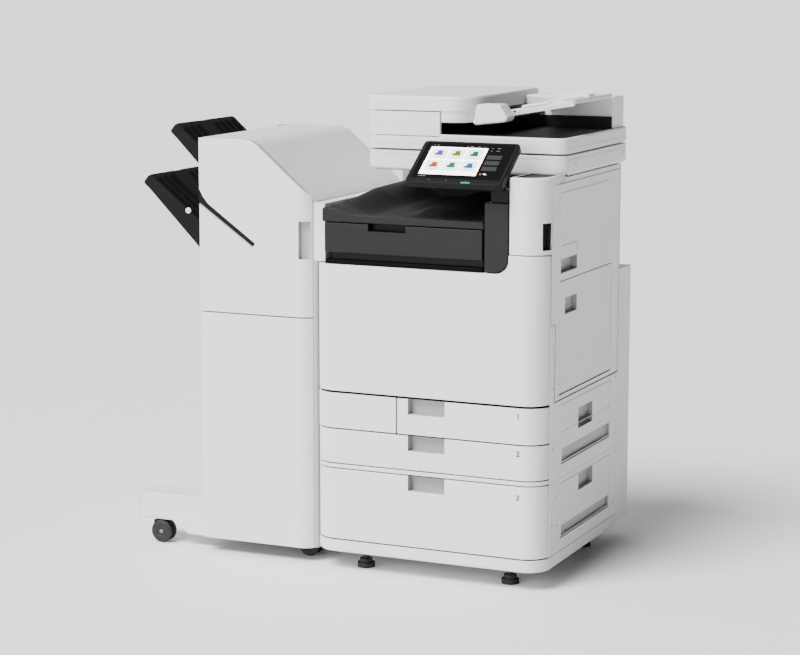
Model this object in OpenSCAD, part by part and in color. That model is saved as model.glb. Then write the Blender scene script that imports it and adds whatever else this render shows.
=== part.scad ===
// Colour office copier on a drawer pedestal, with a staple finisher docked on its left.
// X runs to the right, Y runs from the front to the back, Z is up, and the floor is Z = 0.
// Inside the modules X = 0 is the left cover of the main unit and Y = 0 is its front face.

/* [Main unit] */
// Width of the main unit
body_w = 620; // [560:5:700]
// Depth from the front face to the back of the side panels
body_d = 545; // [500:5:620]
// How far the drive box stands out behind the side panels
rear_box = 95; // [70:5:120]
// Radius of the vertical front corners
corner_r = 60; // [30:2:70]
// Depth of the front covers that wrap round the corners
wrap = 50; // [45:1:70]
// Thickness of the moulded covers
wall = 3; // [2:0.5:4]
// Joint line between fixed covers
seam = 0.8; // [0.5:0.1:0.9]
// Gap round the fronts that open or pull out
gap = 3; // [2.5:0.5:5]

/* [Heights] */
// Height of the base above the floor
base_z = 47; // [40:1:60]
// Height of the base moulding
base_h = 33; // [28:1:45]
// Front of the lowest cassette
drawer3_h = 183; // [150:1:240]
// Strip between the pedestal and the main unit
strip_h = 12; // [9:1:20]
// Front of the middle cassette
drawer2_h = 89; // [80:1:120]
// Front of the top cassette
drawer1_h = 92; // [80:1:120]
// Front door, up to its ledge
door_h = 324; // [280:2:380]
// Height of the pass unit between the door ledge and the delivery tray
pass_h = 103; // [90:1:120]
// Open space from the delivery tray to the scanner
space_h = 120; // [100:1:160]
// Height of the scanner
scanner_h = 50; // [42:1:65]
// Base of the document feeder
feeder_base_h = 38; // [30:1:50]
// Side of the document feeder between its base and its cover
feeder_side_h = 56; // [45:1:70]
// Cover of the document feeder
feeder_cover_h = 36; // [28:1:45]

/* [Cassettes] */
// Width of the finger recess in a cassette front
grip_w = 98; // [80:2:120]
// Height of the finger recess
grip_h = 38; // [28:1:45]
// Depth of the finger recess
grip_d = 22; // [16:1:30]
// Right edge of the fixed cover beside the top cassette
split_x = 234; // [180:2:240]
// Depth of the cassette trays
tray_depth = 480; // [440:5:500]
// Sheet thickness of the cassette trays
tray_wall = 2; // [1.5:0.5:3]

/* [Scanner and feeder] */
// Distance from the left cover to the left edge of the scanner
scan_x = 89; // [60:1:110]
// Distance from the front face to the front of the scanner
scan_y = 136; // [125:1:160]
// Depth of the scanner and the document feeder
scan_d = 468; // [440:2:520]
// Width of the feeder cover
feeder_cover_w = 281; // [240:1:300]
// Slope of the document input tray
input_slope = 10; // [6:1:14]
// Radius of the carriage rods
rod_r = 5; // [4:0.5:6]

/* [Control panel] */
// Width of the panel
panel_w = 250; // [220:2:252]
// Length of the panel along its slope
panel_l = 155; // [130:1:165]
// Thickness of the panel
panel_t = 22; // [18:1:28]
// Slope of the panel from level
panel_slope = 35; // [28:1:42]

/* [Finisher] */
// Width of the finisher
finisher_w = 322; // [290:2:380]
// Space between the finisher and the main unit
dock_gap = 8; // [6:1:14]
// Depth of the finisher
finisher_d = 545; // [500:5:600]
// Height of the top of the finisher
finisher_h = 1075; // [1040:5:1120]
// Height of the split between its upper and lower fronts
finisher_split = 631; // [560:1:700]
// Radius of its right front corner
finisher_r = 45; // [30:1:45]
// Radius of the caster wheels
wheel_r = 30; // [26:1:32]
// Reach of the outrigger arm past the finisher
arm_reach = 212; // [180:2:240]

/* [Print engine] */
// Radius of an image drum
drum_r = 15; // [12:1:20]
// Distance between two drums
drum_pitch = 84; // [76:1:90]
// Radius of the transfer belt's rollers
belt_roller_r = 16; // [12:1:20]
// Radius of the fuser and pressure rollers
fuser_r = 18; // [14:1:20]
// Clearance of a shaft in its bearing
fit = 0.06; // [0.03:0.01:0.1]

/* [Hidden] */
$fn = 48;

// Heights of the front, from the floor up
z_drawer3 = base_z + base_h;
z_strip = z_drawer3 + drawer3_h;
z_drawer2 = z_strip + strip_h;
z_drawer1 = z_drawer2 + drawer2_h;
z_door = z_drawer1 + drawer1_h;
z_ledge = z_door + door_h;
z_deck = z_ledge + pass_h;
z_scan = z_deck + space_h;
z_feed = z_scan + scanner_h + 4;
z_feed_top = z_feed + feeder_base_h;
z_lid = z_feed_top + feeder_side_h + 2;
z_lid_top = z_lid + feeder_cover_h;

// Places across the main unit
pillar_x0 = body_w - 156;
pillar_x1 = body_w - 94;
inner_x = body_w - 72;
tray_x0 = 24;
tray_x1 = body_w - 80;
frame_y0 = wrap + 5;
frame_y1 = body_d - 5.5;
scan_y1 = scan_y + scan_d;
block_x1 = scan_x + 201;
lid_x1 = scan_x + feeder_cover_w;
tray_axis_x = lid_x1 + 76;
tray_axis_z = z_feed_top + 52;
back_y = scan_y1 - 99;
feed_r = 30;

// Places of the control panel, measured along its own slope
panel_x1 = pillar_x1 - 1;
panel_x0 = panel_x1 - panel_w;
panel_y = -45;
panel_z = z_scan - 7;
panel_pin = [60, -30];
pin_y = panel_y + panel_pin[0] * cos(panel_slope) - panel_pin[1] * sin(panel_slope);
pin_z = panel_z + panel_pin[0] * sin(panel_slope) + panel_pin[1] * cos(panel_slope);

// Places of the finisher
fin_x1 = -dock_gap;
fin_x0 = fin_x1 - finisher_w;
fin_y0 = 30;
fin_y1 = fin_y0 + finisher_d;
fin_band = fin_y0 + 20;
fin_base = 66;
fin_right_z = finisher_h - 148;
fin_left_z = finisher_h - 40;
// where the flat top ends, and the radius that turns it into the slope
shoulder_x = 125;
shoulder_r = 70;
// heights and place of the hooks that dock it to the main unit
dock_z = [240, 700];
dock_y = 300;
// tip and underside of the outrigger arm
arm_x0 = fin_x0 - arm_reach;
arm_z = 62;

// The whole model stands on its bounding box's bottom centre. The plate on the side door
// stands proud of the right side by vent_h.
vent_h = 1.5;
mid_x = (arm_x0 + body_w + vent_h) / 2;
mid_y = (panel_y + body_d + rear_box) / 2;

// Colours
white = "#e4e4e3";
dark = "#3a3a3b";
black = "#1c1c1e";
steel = "#b4b8bb";
rubber = "#2a2a2c";

function arc(c, r, a0, a1, n = 12) =
    [for (i = [0:n]) c + r * [cos(a0 + (a1 - a0) * i / n), sin(a0 + (a1 - a0) * i / n)]];

// Outline seen from above: straight sides and round front corners. Where the outline ends
// inside a corner's radius, the arc stops there.
function cut_angle(y0, y1, r) = y0 + r > y1 ? asin((y0 + r - y1) / r) : 0;
function plan(x0, x1, y0, y1, rl, rr) = concat(
    rl > 0 ? arc([x0 + rl, y0 + rl], rl, 180 + cut_angle(y0, y1, rl), 270) : [[x0, y0]],
    rr > 0 ? arc([x1 - rr, y0 + rr], rr, 270, 360 - cut_angle(y0, y1, rr)) : [[x1, y0]],
    cut_angle(y0, y1, rr) > 0 && rr > 0 ? [] : [[x1, y1]],
    cut_angle(y0, y1, rl) > 0 && rl > 0 ? [] : [[x0, y1]]);

module place() { translate([-mid_x, -mid_y, 0]) children(); }
module span(a, b) { translate(a) cube(b - a); }
module prism(pts, z0, z1) { translate([0, 0, z0]) linear_extrude(z1 - z0) polygon(pts); }
// A profile drawn in X and Z, carried from y0 to y1
module profile_y(pts, y0, y1) {
    translate([0, y1, 0]) rotate([90, 0, 0]) linear_extrude(y1 - y0) polygon(pts);
}
module rod_x(x0, x1, y, z, r) { translate([x0, y, z]) rotate([0, 90, 0]) cylinder(h = x1 - x0, r = r); }
module rod_y(x, y0, y1, z, r) { translate([x, y0, z]) rotate([-90, 0, 0]) cylinder(h = y1 - y0, r = r); }
module rod_z(x, y, z0, z1, r) { translate([x, y, z0]) cylinder(h = z1 - z0, r = r); }

// A front cover: one wall in front, wrapped round the corners, closed above and below
module front_shell(x0, x1, z0, z1, rl, rr) {
    difference() {
        prism(plan(x0, x1, 0, wrap, rl, rr), z0, z1);
        prism(plan(x0 + wall, x1 - wall, wall, wrap + 1, max(rl - wall, 0), max(rr - wall, 0)),
            z0 + wall, z1 - wall);
    }
}

// Finger recess let into the top of a cassette front, with its own lining
grip_x0 = 265;
module grip_lining(z1) {
    span([grip_x0 - 2, 1, z1 - grip_h - 2], [grip_x0 + grip_w + 2, grip_d + 2, z1]);
}
module grip_space(z1) {
    span([grip_x0, -1, z1 - grip_h], [grip_x0 + grip_w, grip_d, z1 + 1]);
}

// ---------------------------------------------------------------- frame and fixed covers

module main_frame() {
    color(steel) place() {
        difference() {
            union() {
                span([8, frame_y0, base_z + wall], [inner_x + 2, frame_y1, base_z + wall + 4]);
                span([inner_x + 2, frame_y0, base_z + wall], [body_w - 10, frame_y1, base_z + wall + 4]);
                span([8, frame_y0, base_z + wall], [10, frame_y1, z_ledge - 2]);
                span([inner_x, frame_y0, base_z + wall], [inner_x + 2, frame_y1, z_ledge - 2]);
                span([8, frame_y1, base_z + wall], [body_w - 16, frame_y1 + 2, z_scan]);
                span([8, frame_y0, z_strip + 2], [inner_x + 2, frame_y1, z_strip + 5]);
                span([8, frame_y0, z_door + 4], [inner_x + 2, frame_y1, z_door + 7]);
                span([split_x - 3, frame_y0, z_drawer1], [split_x - 1, frame_y1, z_door + 5]);
                span([split_x - 3, frame_y0, z_drawer1 - 3], [inner_x + 2, frame_y1, z_drawer1]);
                span([8, frame_y0, z_ledge - 2], [pillar_x1 + 6, frame_y1, z_ledge + 1]);
                span([pillar_x1 + 4, frame_y0, z_ledge - 2], [body_w - 32, frame_y1, z_ledge + 1]);
                span([pillar_x1 + 4, frame_y0, z_ledge], [pillar_x1 + 6, frame_y1, z_scan - 5]);
                span([pillar_x1 + 4, scan_y + 4, z_scan - 5], [body_w - 14, frame_y1, z_scan]);
                span([body_w - 34, scan_y + 4, z_ledge], [body_w - 32, frame_y1 - 30, z_scan]);
            }
            // ways for the paper from the cassettes to the upright path
            for (z = [z_drawer3 + 130, z_drawer2 + 60, z_drawer1 + 60])
                span([inner_x - 1, 110, z], [inner_x + 3, 460, z + 14]);
            // way from the belt to the fuser
            span([inner_x - 1, 90, z_door + 100], [inner_x + 3, 490, z_door + 170]);
        }
        door_hinge_arms();
        for (z = [z_door + 60, z_scan - 80]) side_hinge_lug(z);
    }
}

// Front door hinge: two arms from the engine floor with a pin between each pair of cheeks
door_pin = [6, z_door + 8];
// depth of the door's top, which swings clear of the ledge behind it
door_top_d = 34;
door_hinge_x = [70, body_w - 90];
module door_hinge_arms() {
    for (x = door_hinge_x) {
        for (s = [-14, 11])
            span([x + s, 4.2, z_door + 6], [x + s + 3, frame_y0 + 1, z_door + 10]);
        rod_x(x - 12, x + 12, door_pin[0], door_pin[1], 1.5);
        span([x - 14, frame_y0 - 3, z_door + 4], [x + 14, frame_y0 + 1, z_door + 10]);
    }
}

// Side door hinge: a lug on the rear plate with an upright pin below it
side_pin = [body_w - 5.5, body_d - 7];
module side_hinge_lug(z) {
    span([body_w - 24, side_pin[1] - 2, z], [side_pin[0] + 2, side_pin[1] + 2, z + 4]);
    span([body_w - 24, side_pin[1] - 2, z], [body_w - 18, frame_y1 + 1, z + 4]);
    rod_z(side_pin[0], side_pin[1], z - 14, z + 1, 1.5);
}

module base_cover() {
    color(white) place() {
        difference() {
            prism(plan(0, body_w, 0, body_d, corner_r, corner_r), base_z, z_drawer3 - gap / 2);
            prism(plan(wall, body_w - wall, wall, body_d - wall, corner_r - wall, corner_r - wall),
                base_z + wall, z_drawer3);
        }
    }
}

module front_strips() {
    color(white) place() {
        // strip between the pedestal and the main unit
        difference() {
            front_shell(0, body_w, z_strip + 1, z_drawer2 - 1, corner_r, corner_r);
            span([-1, wrap, 0], [body_w + 1, wrap + 9, z_door]);
        }
        prism(plan(wall, body_w - wall, wall, frame_y0 - 0.4, corner_r - wall, corner_r - wall),
            z_strip + 2, z_strip + 5);
        // fixed cover beside the top cassette
        front_shell(0, split_x - gap / 2, z_drawer1 + gap / 2, z_door - gap / 2, corner_r, 0);
        span([split_x - 30, wall - 1, z_drawer1 + 20], [split_x - 26, frame_y0 + 0.4, z_drawer1 + 60]);
        span([split_x - 30, frame_y0 - 0.6, z_drawer1 + 20], [split_x - 3.4, frame_y0 + 3, z_drawer1 + 60]);
    }
}

module left_cover() {
    color(white) place() {
        span([0, wrap + seam, z_drawer3], [wall, body_d, z_ledge - 1]);
        difference() {
            span([0, 20, z_ledge + 1], [31, frame_y1 - 0.4, z_ledge + 145]);
            span([wall, 23, z_ledge + 4], [31 - wall, frame_y1 - 4, z_ledge + 142]);
        }
        span([0, wrap + seam, z_ledge - 2], [wall, body_d, z_ledge + 145]);
    }
}

// Side openings behind the two small doors on the right
low_door_y0 = 125;
low_door_y1 = 490;
module right_side_covers() {
    color(white) place() {
        difference() {
            union() {
                span([body_w - wall, wrap + seam, z_drawer3], [body_w, body_d, z_strip]);
                span([body_w - wall, wrap + seam, z_strip + seam], [body_w, body_d, z_door + 3]);
            }
            span([body_w - 9, low_door_y0 - 1, z_drawer3 + 30], [body_w + 1, low_door_y1 + 1, z_strip - 12]);
            span([body_w - 9, low_door_y0 - 1, z_strip + 34], [body_w + 1, low_door_y1 + 1, z_door - 8]);
        }
        // fixed strip in front of the large side door
        span([body_w - wall, wrap + seam, z_door + 4], [body_w, wrap + 25, z_door + 196]);
        span([body_w - 12, frame_y0 - 1, z_door + 3], [body_w, frame_y0 + 14, z_door + 4]);
        // pins of the two small doors
        for (z = [z_drawer3 + 38, z_strip + 42], y = low_hinge_y) pin_bracket(y, z);
    }
}

// A pin for a bottom-hinged door, held from behind so that the door's edge can pass under it
flap_pin_x = body_w - 6;
module pin_bracket(y, z) {
    span([flap_pin_x - 12, y, z - 1.8], [flap_pin_x + 1.7, y + 4, z + 1.8]);
    span([flap_pin_x - 12, y, z - 16], [flap_pin_x - 9, y + 4, z + 1.8]);
    span([flap_pin_x - 12, y, z - 16], [body_w - 1.5, y + 4, z - 13]);
    rod_y(flap_pin_x, y + 1, y + 18, z, 1.5);
}

module rear_covers() {
    color(white) place() {
        difference() {
            span([0, body_d + seam, base_z + 10], [body_w, body_d + rear_box, z_ledge - 51]);
            span([wall, body_d - 1, base_z + 10 + wall],
                [body_w - wall, body_d + rear_box - wall, z_ledge - 51 - wall]);
            // mains inlet and air outlet
            span([84, body_d + rear_box - 9, 110], [112, body_d + rear_box + 1, 130]);
            for (i = [0:7]) span([430 + i * 12, body_d + rear_box - 9, 520], [436 + i * 12, body_d + rear_box + 1, 600]);
        }
        span([0, body_d + seam, z_ledge - 50], [body_w - 20, body_d + seam + wall, z_scan - seam]);
        span([body_w - 20, body_d + seam, z_ledge - 50], [body_w, body_d + seam + wall, z_scan - seam]);
        // distance pieces on the back plate
        for (x = [60, 300, 560])
            span([x, frame_y1 + 2.2, z_ledge + 40], [x + 5, body_d + seam + 1, z_ledge + 90]);
    }
}

module upper_front_cover() {
    z0 = z_ledge + 46;
    z1 = z_scan + 8;
    x0 = pillar_x1 + 1;
    color(white) place() {
        difference() {
            union() {
                difference() {
                    union() {
                        prism(plan(x0, body_w, 0, wrap, 8, corner_r), z0, z1);
                        prism(plan(x0, body_w, 0, scan_y - 1, 8, corner_r), z_scan - 12, z1);
                    }
                    prism(plan(x0 + wall, body_w - wall, wall, scan_y + 9, 5, corner_r - wall), z0 + wall, z1 + 1);
                }
                // lining of the pull recess at the corner
                intersection() {
                    prism(plan(x0, body_w, 0, wrap, 8, corner_r), z0 + 8, z0 + 79);
                    span([body_w - 31, 4, z0 + 8], [body_w, wrap, z0 + 79]);
                }
                // deck behind the rim
                span([x0 + wall - 1, wall + 6, z_scan - 5], [body_w - wall + 1, scan_y - 1, z_scan - 2]);
            }
            span([body_w - 28, 22, z0 + 11], [body_w + 1, wrap + 1, z0 + 76]);
        }
    }
}

module pillar_cover() {
    color(dark) place() {
        difference() {
            span([pillar_x0 + 1, 0, z_ledge + 2], [pillar_x1, frame_y0 - seam, z_ledge + 168]);
            span([pillar_x0 + 1 + wall, wall, z_ledge + 5], [pillar_x1 - wall, frame_y0 + 9, z_ledge + 165]);
        }
        // foot on the engine's top plate
        span([pillar_x0 + 5, frame_y0 - 5, z_ledge + 5], [pillar_x1 - 5, frame_y0 + 2, z_ledge + 9]);
        span([pillar_x0 + 5, frame_y0 + 0.4, z_ledge + 1], [pillar_x1 - 5, frame_y0 + 12, z_ledge + 9]);
    }
}

// ---------------------------------------------------------------- front door and cassettes

module front_door() {
    z0 = z_door + 4;
    notch_x = pillar_x1 + 1.5;
    color(white) place() {
        difference() {
            union() {
                difference() {
                    prism(plan(0, body_w, 0, wrap, corner_r, corner_r), z0, z_ledge + 44);
                    prism(plan(wall, body_w - wall, wall, wrap + 1, corner_r - wall, corner_r - wall),
                        z0 - 1, z_ledge + 44 - wall);
                    span([-1, -1, z_ledge - 1], [notch_x, wrap + 1, z_ledge + 60]);
                    // top edges kept shallow so that they clear the ledge as the door swings
                    span([-1, door_top_d, z_ledge - 7], [notch_x, wrap + 1, z_ledge + 60]);
                    span([-1, door_top_d, z_ledge + 37], [body_w + 1, wrap + 1, z_ledge + 60]);
                }
                prism(plan(0, notch_x + 1, 0, door_top_d, corner_r, 0), z_ledge - 1 - wall, z_ledge - 1);
                span([notch_x, 1, z_ledge - 1 - wall], [notch_x + wall, door_top_d - 1, z_ledge + 43]);
                for (x = door_hinge_x)
                    span([x - 10, 2, door_pin[1] - 3.5], [x + 10, door_pin[0] + 3.5, door_pin[1] + 3.5]);
                // ribs behind the front
                for (x = [150, 310, body_w - 150])
                    span([x, 2, z0 + 20], [x + 2, 12, z_ledge - 2]);
            }
            for (x = door_hinge_x) rod_x(x - 11, x + 11, door_pin[0], door_pin[1], 1.5 + fit);
        }
    }
}

module cassette_front(x0, z0, z1, rl) {
    difference() {
        union() {
            front_shell(x0, body_w, z0, z1, rl, corner_r);
            grip_lining(z1);
        }
        grip_space(z1);
    }
}

// A steel tray, open on top, behind its front
module cassette_tray(x0, z0, z1) {
    difference() {
        span([x0, grip_d + 2, z0], [tray_x1, grip_d + 2 + tray_depth, z1]);
        span([x0 + tray_wall, grip_d + 2 + tray_wall, z0 + tray_wall],
            [tray_x1 - tray_wall, grip_d + 2 + tray_depth - tray_wall, z1 + 1]);
    }
    // paper edge guides
    for (y = [110, 400])
        span([x0 + 120, y, z0 + tray_wall], [x0 + 200, y + 3, z1 - 4]);
}

module cassette_1_front() {
    color(white) place() cassette_front(split_x + gap / 2, z_drawer1 + gap / 2, z_door - gap / 2, 0);
}
module cassette_1_tray() {
    color(steel) place() cassette_tray(split_x + 12, z_drawer1 + 12, z_door - 16);
}
module cassette_2_front() {
    color(white) place() cassette_front(0, z_drawer2 + gap / 2, z_drawer1 - gap / 2, corner_r);
}
module cassette_2_tray() {
    color(steel) place() cassette_tray(tray_x0, z_drawer2 + 12, z_drawer1 - 14);
}
module cassette_3_front() {
    color(white) place() cassette_front(0, z_drawer3 + gap / 2, z_strip - gap / 2, corner_r);
}
module cassette_3_tray() {
    color(steel) place() cassette_tray(tray_x0, z_drawer3 + 14, z_strip - 14);
}

// Runners under the trays, fixed to the side plates
module cassette_rails() {
    color(steel) place() {
        for (z = [z_drawer3 + 14, z_drawer2 + 12]) rail(10, tray_x0 + 6, z);
        rail(split_x - 1, split_x + 18, z_drawer1 + 12);
        for (z = [z_drawer3 + 14, z_drawer2 + 12, z_drawer1 + 12]) rail(tray_x1 - 6, inner_x, z);
    }
}
module rail(x0, x1, z) { span([x0, frame_y0 + 4, z - 8], [x1, frame_y1 - 10, z - 0.3]); }

// ---------------------------------------------------------------- pass unit and delivery tray

pass_x0 = 37;
pass_x1 = pillar_x0 - 5;
module pass_unit() {
    z1 = z_deck - 2;
    color(dark) place() {
        difference() {
            union() {
                span([pass_x0, 2, z_ledge + 27], [pass_x1, 30, z1]);
                span([pass_x0 + 17, 12, z_ledge + 10], [pass_x1, 470, z1 - 2]);
            }
            span([pass_x0 + 20, 33, z_ledge + 13], [pass_x1 - 3, 467, z1 + 1]);
            // grip slot
            span([157, -1, z1 - 17], [258, 26, z1 + 1]);
        }
        // paper guide inside the unit
        span([pass_x0 + 20, 120, z_ledge + 40], [pass_x1 - 3, 420, z_ledge + 43]);
    }
}

module delivery_tray() {
    x0 = 33;
    x1 = pillar_x0;
    z0 = z_deck;
    color(black) place() {
        // floor of the tray, higher on the left and at the back
        difference() {
            profile_y(concat([[x0, z0 + 1], [x1, z0 + 1], [x1, z0 + 17], [x0 + 90, z0 + 17]],
                arc([x0 + 30, z0 + 12], 28, 60, 180)), 0, frame_y1 - 1);
            profile_y([[x0 + 3, z0 + 4], [x1 - 3, z0 + 4], [x1 - 3, z0 + 14], [x0 + 84, z0 + 14],
                [x0 + 3, z0 + 14]], wall, frame_y1 - 4);
        }
        // stop wall in the middle and the wall at the back
        span([x0 + 200, 150, z0 + 16], [x0 + 290, 260, z0 + 40]);
        span([x0, frame_y1 - 14, z0 + 16], [x1, frame_y1 - 1, z_scan - 14]);
        span([x1 - 1, frame_y0 + 1, z0 + 1], [pillar_x1 + 4, frame_y1 - 1, z0 + 17]);
        // slides of the pass unit
        for (x = [pass_x0 + 18, pass_x1 - 9]) span([x, frame_y0, z_ledge + 1], [x + 8, 440, z_ledge + 9.7]);
        span([pass_x0 - 4, frame_y1 - 30, z_ledge + 1], [pass_x1, frame_y1 - 1, z0 + 4]);
    }
}

// ---------------------------------------------------------------- scanner

glass = [[scan_x + 46, body_w - 45], [scan_x + 15, scan_x + 32]];
glass_y0 = scan_y + 45;
glass_y1 = scan_y + 354;
module scanner_housing() {
    z0 = z_scan;
    z1 = z_scan + scanner_h;
    color(white) place() {
        difference() {
            prism(plan(scan_x, body_w, scan_y, scan_y1, feed_r, feed_r), z0, z1);
            prism(plan(scan_x + wall, body_w - wall, scan_y + wall, scan_y1 - wall, feed_r - wall, feed_r - wall),
                z0 + wall, z1 - 6);
            for (g = glass) {
                span([g[0] + 3, glass_y0 + 4, z1 - 9], [g[1] - 3, glass_y1 - 4, z1 + 1]);
                span([g[0], glass_y0, z1 - 3], [g[1], glass_y1, z1 + 1]);
            }
            // air and cable opening at the back
            span([body_w - 160, scan_y1 - 9, z0 + 12], [body_w - 100, scan_y1 + 1, z0 + 32]);
        }
    }
}

module platen_glass() {
    z1 = z_scan + scanner_h;
    color("#9fb4b8") place()
        for (g = glass)
            span([g[0] + 0.3, glass_y0 + 0.3, z1 - 3], [g[1] - 0.3, glass_y1 - 0.3, z1]);
}

carriage_y = [scan_y + 60, scan_y1 - 70];
carriage_z = z_scan + 22;
module carriage_rods() {
    color(steel) place()
        for (y = carriage_y) rod_x(scan_x + wall, body_w - wall, y, carriage_z, rod_r);
}
module scan_carriage() {
    color(black) place() {
        difference() {
            span([scan_x + 40, scan_y + 30, z_scan + 12], [scan_x + 70, scan_y1 - 50, z_scan + 36]);
            for (y = carriage_y) rod_x(scan_x + 39, scan_x + 71, y, carriage_z, rod_r + fit);
            // lens slot
            span([scan_x + 50, scan_y + 76, z_scan + 28], [scan_x + 58, scan_y1 - 90, z_scan + 37]);
        }
    }
}

// ---------------------------------------------------------------- document feeder

hinge_pin = [scan_y1 - 5, z_feed + 6];
hinge_x = [scan_x + 61, body_w - 92];
hinge_w = 30;
lid_pin = [scan_x + 6, z_lid + 3];
lid_pin_y = [scan_y + 64, scan_y1 - 74];
roller_c = [scan_x + 101, z_feed_top + 27];
roller_r = 22;
roller_shaft_r = 6;

module feeder_base() {
    color(white) place() {
        difference() {
            union() {
                difference() {
                    prism(plan(scan_x, body_w, scan_y, scan_y1, feed_r, feed_r), z_feed, z_feed_top);
                    prism(plan(scan_x + wall, body_w - wall, scan_y + wall, scan_y1 - wall,
                        feed_r - wall, feed_r - wall), z_feed + wall, z_feed_top - wall);
                    span([scan_x + wall, scan_y + feed_r, z_feed_top - 9],
                        [block_x1 - wall, scan_y1 - wall, z_feed_top + 1]);
                }
                // side walls of the feed unit
                difference() {
                    prism(plan(scan_x, block_x1, scan_y, scan_y1, feed_r, 0), z_feed_top - 1, z_lid - 4);
                    prism(plan(scan_x + wall, block_x1 - wall, scan_y + wall, scan_y1 - wall, feed_r - wall, 0),
                        z_feed_top - 9, z_lid);
                    // way out for the documents
                    span([block_x1 - 9, scan_y + 80, z_feed_top + 6], [block_x1 + 1, back_y - 14, z_feed_top + 26]);
                }
                // back housing
                difference() {
                    union() {
                        span([block_x1 - 1, back_y, z_feed_top - 1], [body_w - 8, scan_y1, z_lid - 4]);
                        span([lid_x1 + 4, back_y, z_lid - 5], [body_w - 8, scan_y1, z_lid + 22]);
                    }
                    span([lid_x1 + 7, back_y + wall, z_feed_top + 2], [body_w - 11, scan_y1 - wall, z_lid + 19]);
                }
                // separating plate over the output side
                span([block_x1 - 1, scan_y + 80, z_feed_top + 33], [tray_axis_x - 16, back_y + 1, z_feed_top + 40]);
                // front pivot housing of the input tray
                span([block_x1 - 1, scan_y + 22, z_feed_top + 22], [tray_axis_x + 10, scan_y + 70, z_feed_top + 44]);
                span([tray_axis_x - 10, scan_y + 22, z_feed_top + 22],
                    [tray_axis_x + 10, scan_y + 70, tray_axis_z + 8]);
                rod_y(tray_axis_x, scan_y + 69, scan_y + 94, tray_axis_z, 4);
                rod_y(tray_axis_x, back_y - 15, back_y + 1, tray_axis_z, 4);
                // bearings of the feed roller
                for (y = [scan_y + 2, scan_y1 - 12]) rod_y(roller_c[0], y, y + 10, roller_c[1], 11);
                // lugs for the cover
                for (y = lid_pin_y) {
                    span([scan_x + 1, y, z_lid - 22], [lid_pin[0] + 10, y + 5, z_lid - 16]);
                    span([lid_pin[0] + 6, y, z_lid - 22], [lid_pin[0] + 10, y + 5, lid_pin[1] + 2.5]);
                    span([lid_pin[0] - 1.9, y, lid_pin[1] - 2.2], [lid_pin[0] + 10, y + 5, lid_pin[1] + 2.2]);
                    rod_y(lid_pin[0], y + 4, y + 17, lid_pin[1], 1.8);
                }
                // hinge lugs
                for (x = hinge_x)
                    span([x + 6, hinge_pin[0] - 40, z_feed + 0.5], [x + hinge_w - 6, hinge_pin[0] + 4, z_feed + 22]);
            }
            for (y = [scan_y + 4, scan_y1 - 14]) rod_y(roller_c[0], y, y + 11, roller_c[1], roller_shaft_r + fit);
            // room for the fixed hinge cheeks
            for (x = hinge_x, s = [0, hinge_w - 5])
                span([x - 1 + s, hinge_pin[0] - 14, z_feed - 1], [x + 6 + s, scan_y1 + 1, z_feed + 16]);
            for (x = hinge_x) rod_x(x - 1, x + hinge_w + 1, hinge_pin[0], hinge_pin[1], 3 + fit);
        }
    }
}

module feeder_hinges() {
    z0 = z_scan + scanner_h;
    color(steel) place()
        for (x = hinge_x) {
            for (s = [0, hinge_w - 4])
                span([x + s + 0.5, hinge_pin[0] - 6, z0], [x + s + 3.5, hinge_pin[0] + 4.5, hinge_pin[1] + 4]);
            rod_x(x + 1, x + hinge_w - 1, hinge_pin[0], hinge_pin[1], 3);
        }
}

module feeder_cover() {
    color(white) place() {
        difference() {
            union() {
                difference() {
                    prism(plan(scan_x, lid_x1, scan_y, scan_y1, feed_r, corner_r), z_lid, z_lid_top);
                    prism(plan(scan_x + wall, lid_x1 - wall, scan_y + wall, scan_y1 - wall,
                        feed_r - wall, corner_r - wall), z_lid - 1, z_lid_top - wall);
                }
                for (y = lid_pin_y)
                    span([lid_pin[0] - 4, y + 6, lid_pin[1] - 3.6], [lid_pin[0] + 3.6, y + 16, z_lid_top - 1]);
            }
            for (y = lid_pin_y) rod_y(lid_pin[0], y + 5.5, y + 18, lid_pin[1], 1.8 + fit);
            // notch over the back housing
            span([lid_x1 - 5, back_y - 1, z_lid - 2], [lid_x1 + 1, scan_y1 + 1, z_lid_top - wall]);
        }
    }
}

module feeder_roller() {
    color(rubber) place() {
        rod_y(roller_c[0], scan_y + 4.3, scan_y1 - 4.3, roller_c[1], roller_shaft_r);
        rod_y(roller_c[0], scan_y + 20, scan_y1 - 20, roller_c[1], roller_r);
    }
}

// Frame of the sloping input tray: X along the tray from its pivot, Z off its face
module on_tray() { translate([tray_axis_x, 0, tray_axis_z]) rotate([0, -input_slope, 0]) children(); }
tray_l = (body_w - 4 - tray_axis_x) / cos(input_slope);
tray_y0 = scan_y + 79;
tray_y1 = back_y - 4;
module input_tray() {
    color(white) place() {
        difference() {
            on_tray() {
                span([12, tray_y0, 0], [tray_l, tray_y1, 9]);
                span([-7, tray_y0, -7], [14, tray_y0 + 12, 9]);
                span([-7, tray_y1 - 12, -7], [14, tray_y1, 9]);
                span([12, tray_y0, -5], [tray_l, tray_y0 + 4, 1]);
                span([12, tray_y1 - 4, -5], [tray_l, tray_y1, 1]);
                // stopper at the outer edge
                span([tray_l - 8, tray_y0 + 120, 8], [tray_l - 2, tray_y0 + 160, 17]);
            }
            rod_y(tray_axis_x, scan_y + 60, scan_y + 100, tray_axis_z, 4 + fit);
            rod_y(tray_axis_x, back_y - 20, back_y + 5, tray_axis_z, 4 + fit);
            // guide slots across the tray
            on_tray() span([60, tray_y0 + 14, -1], [68, tray_y1 - 14, 10]);
        }
    }
}

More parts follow.
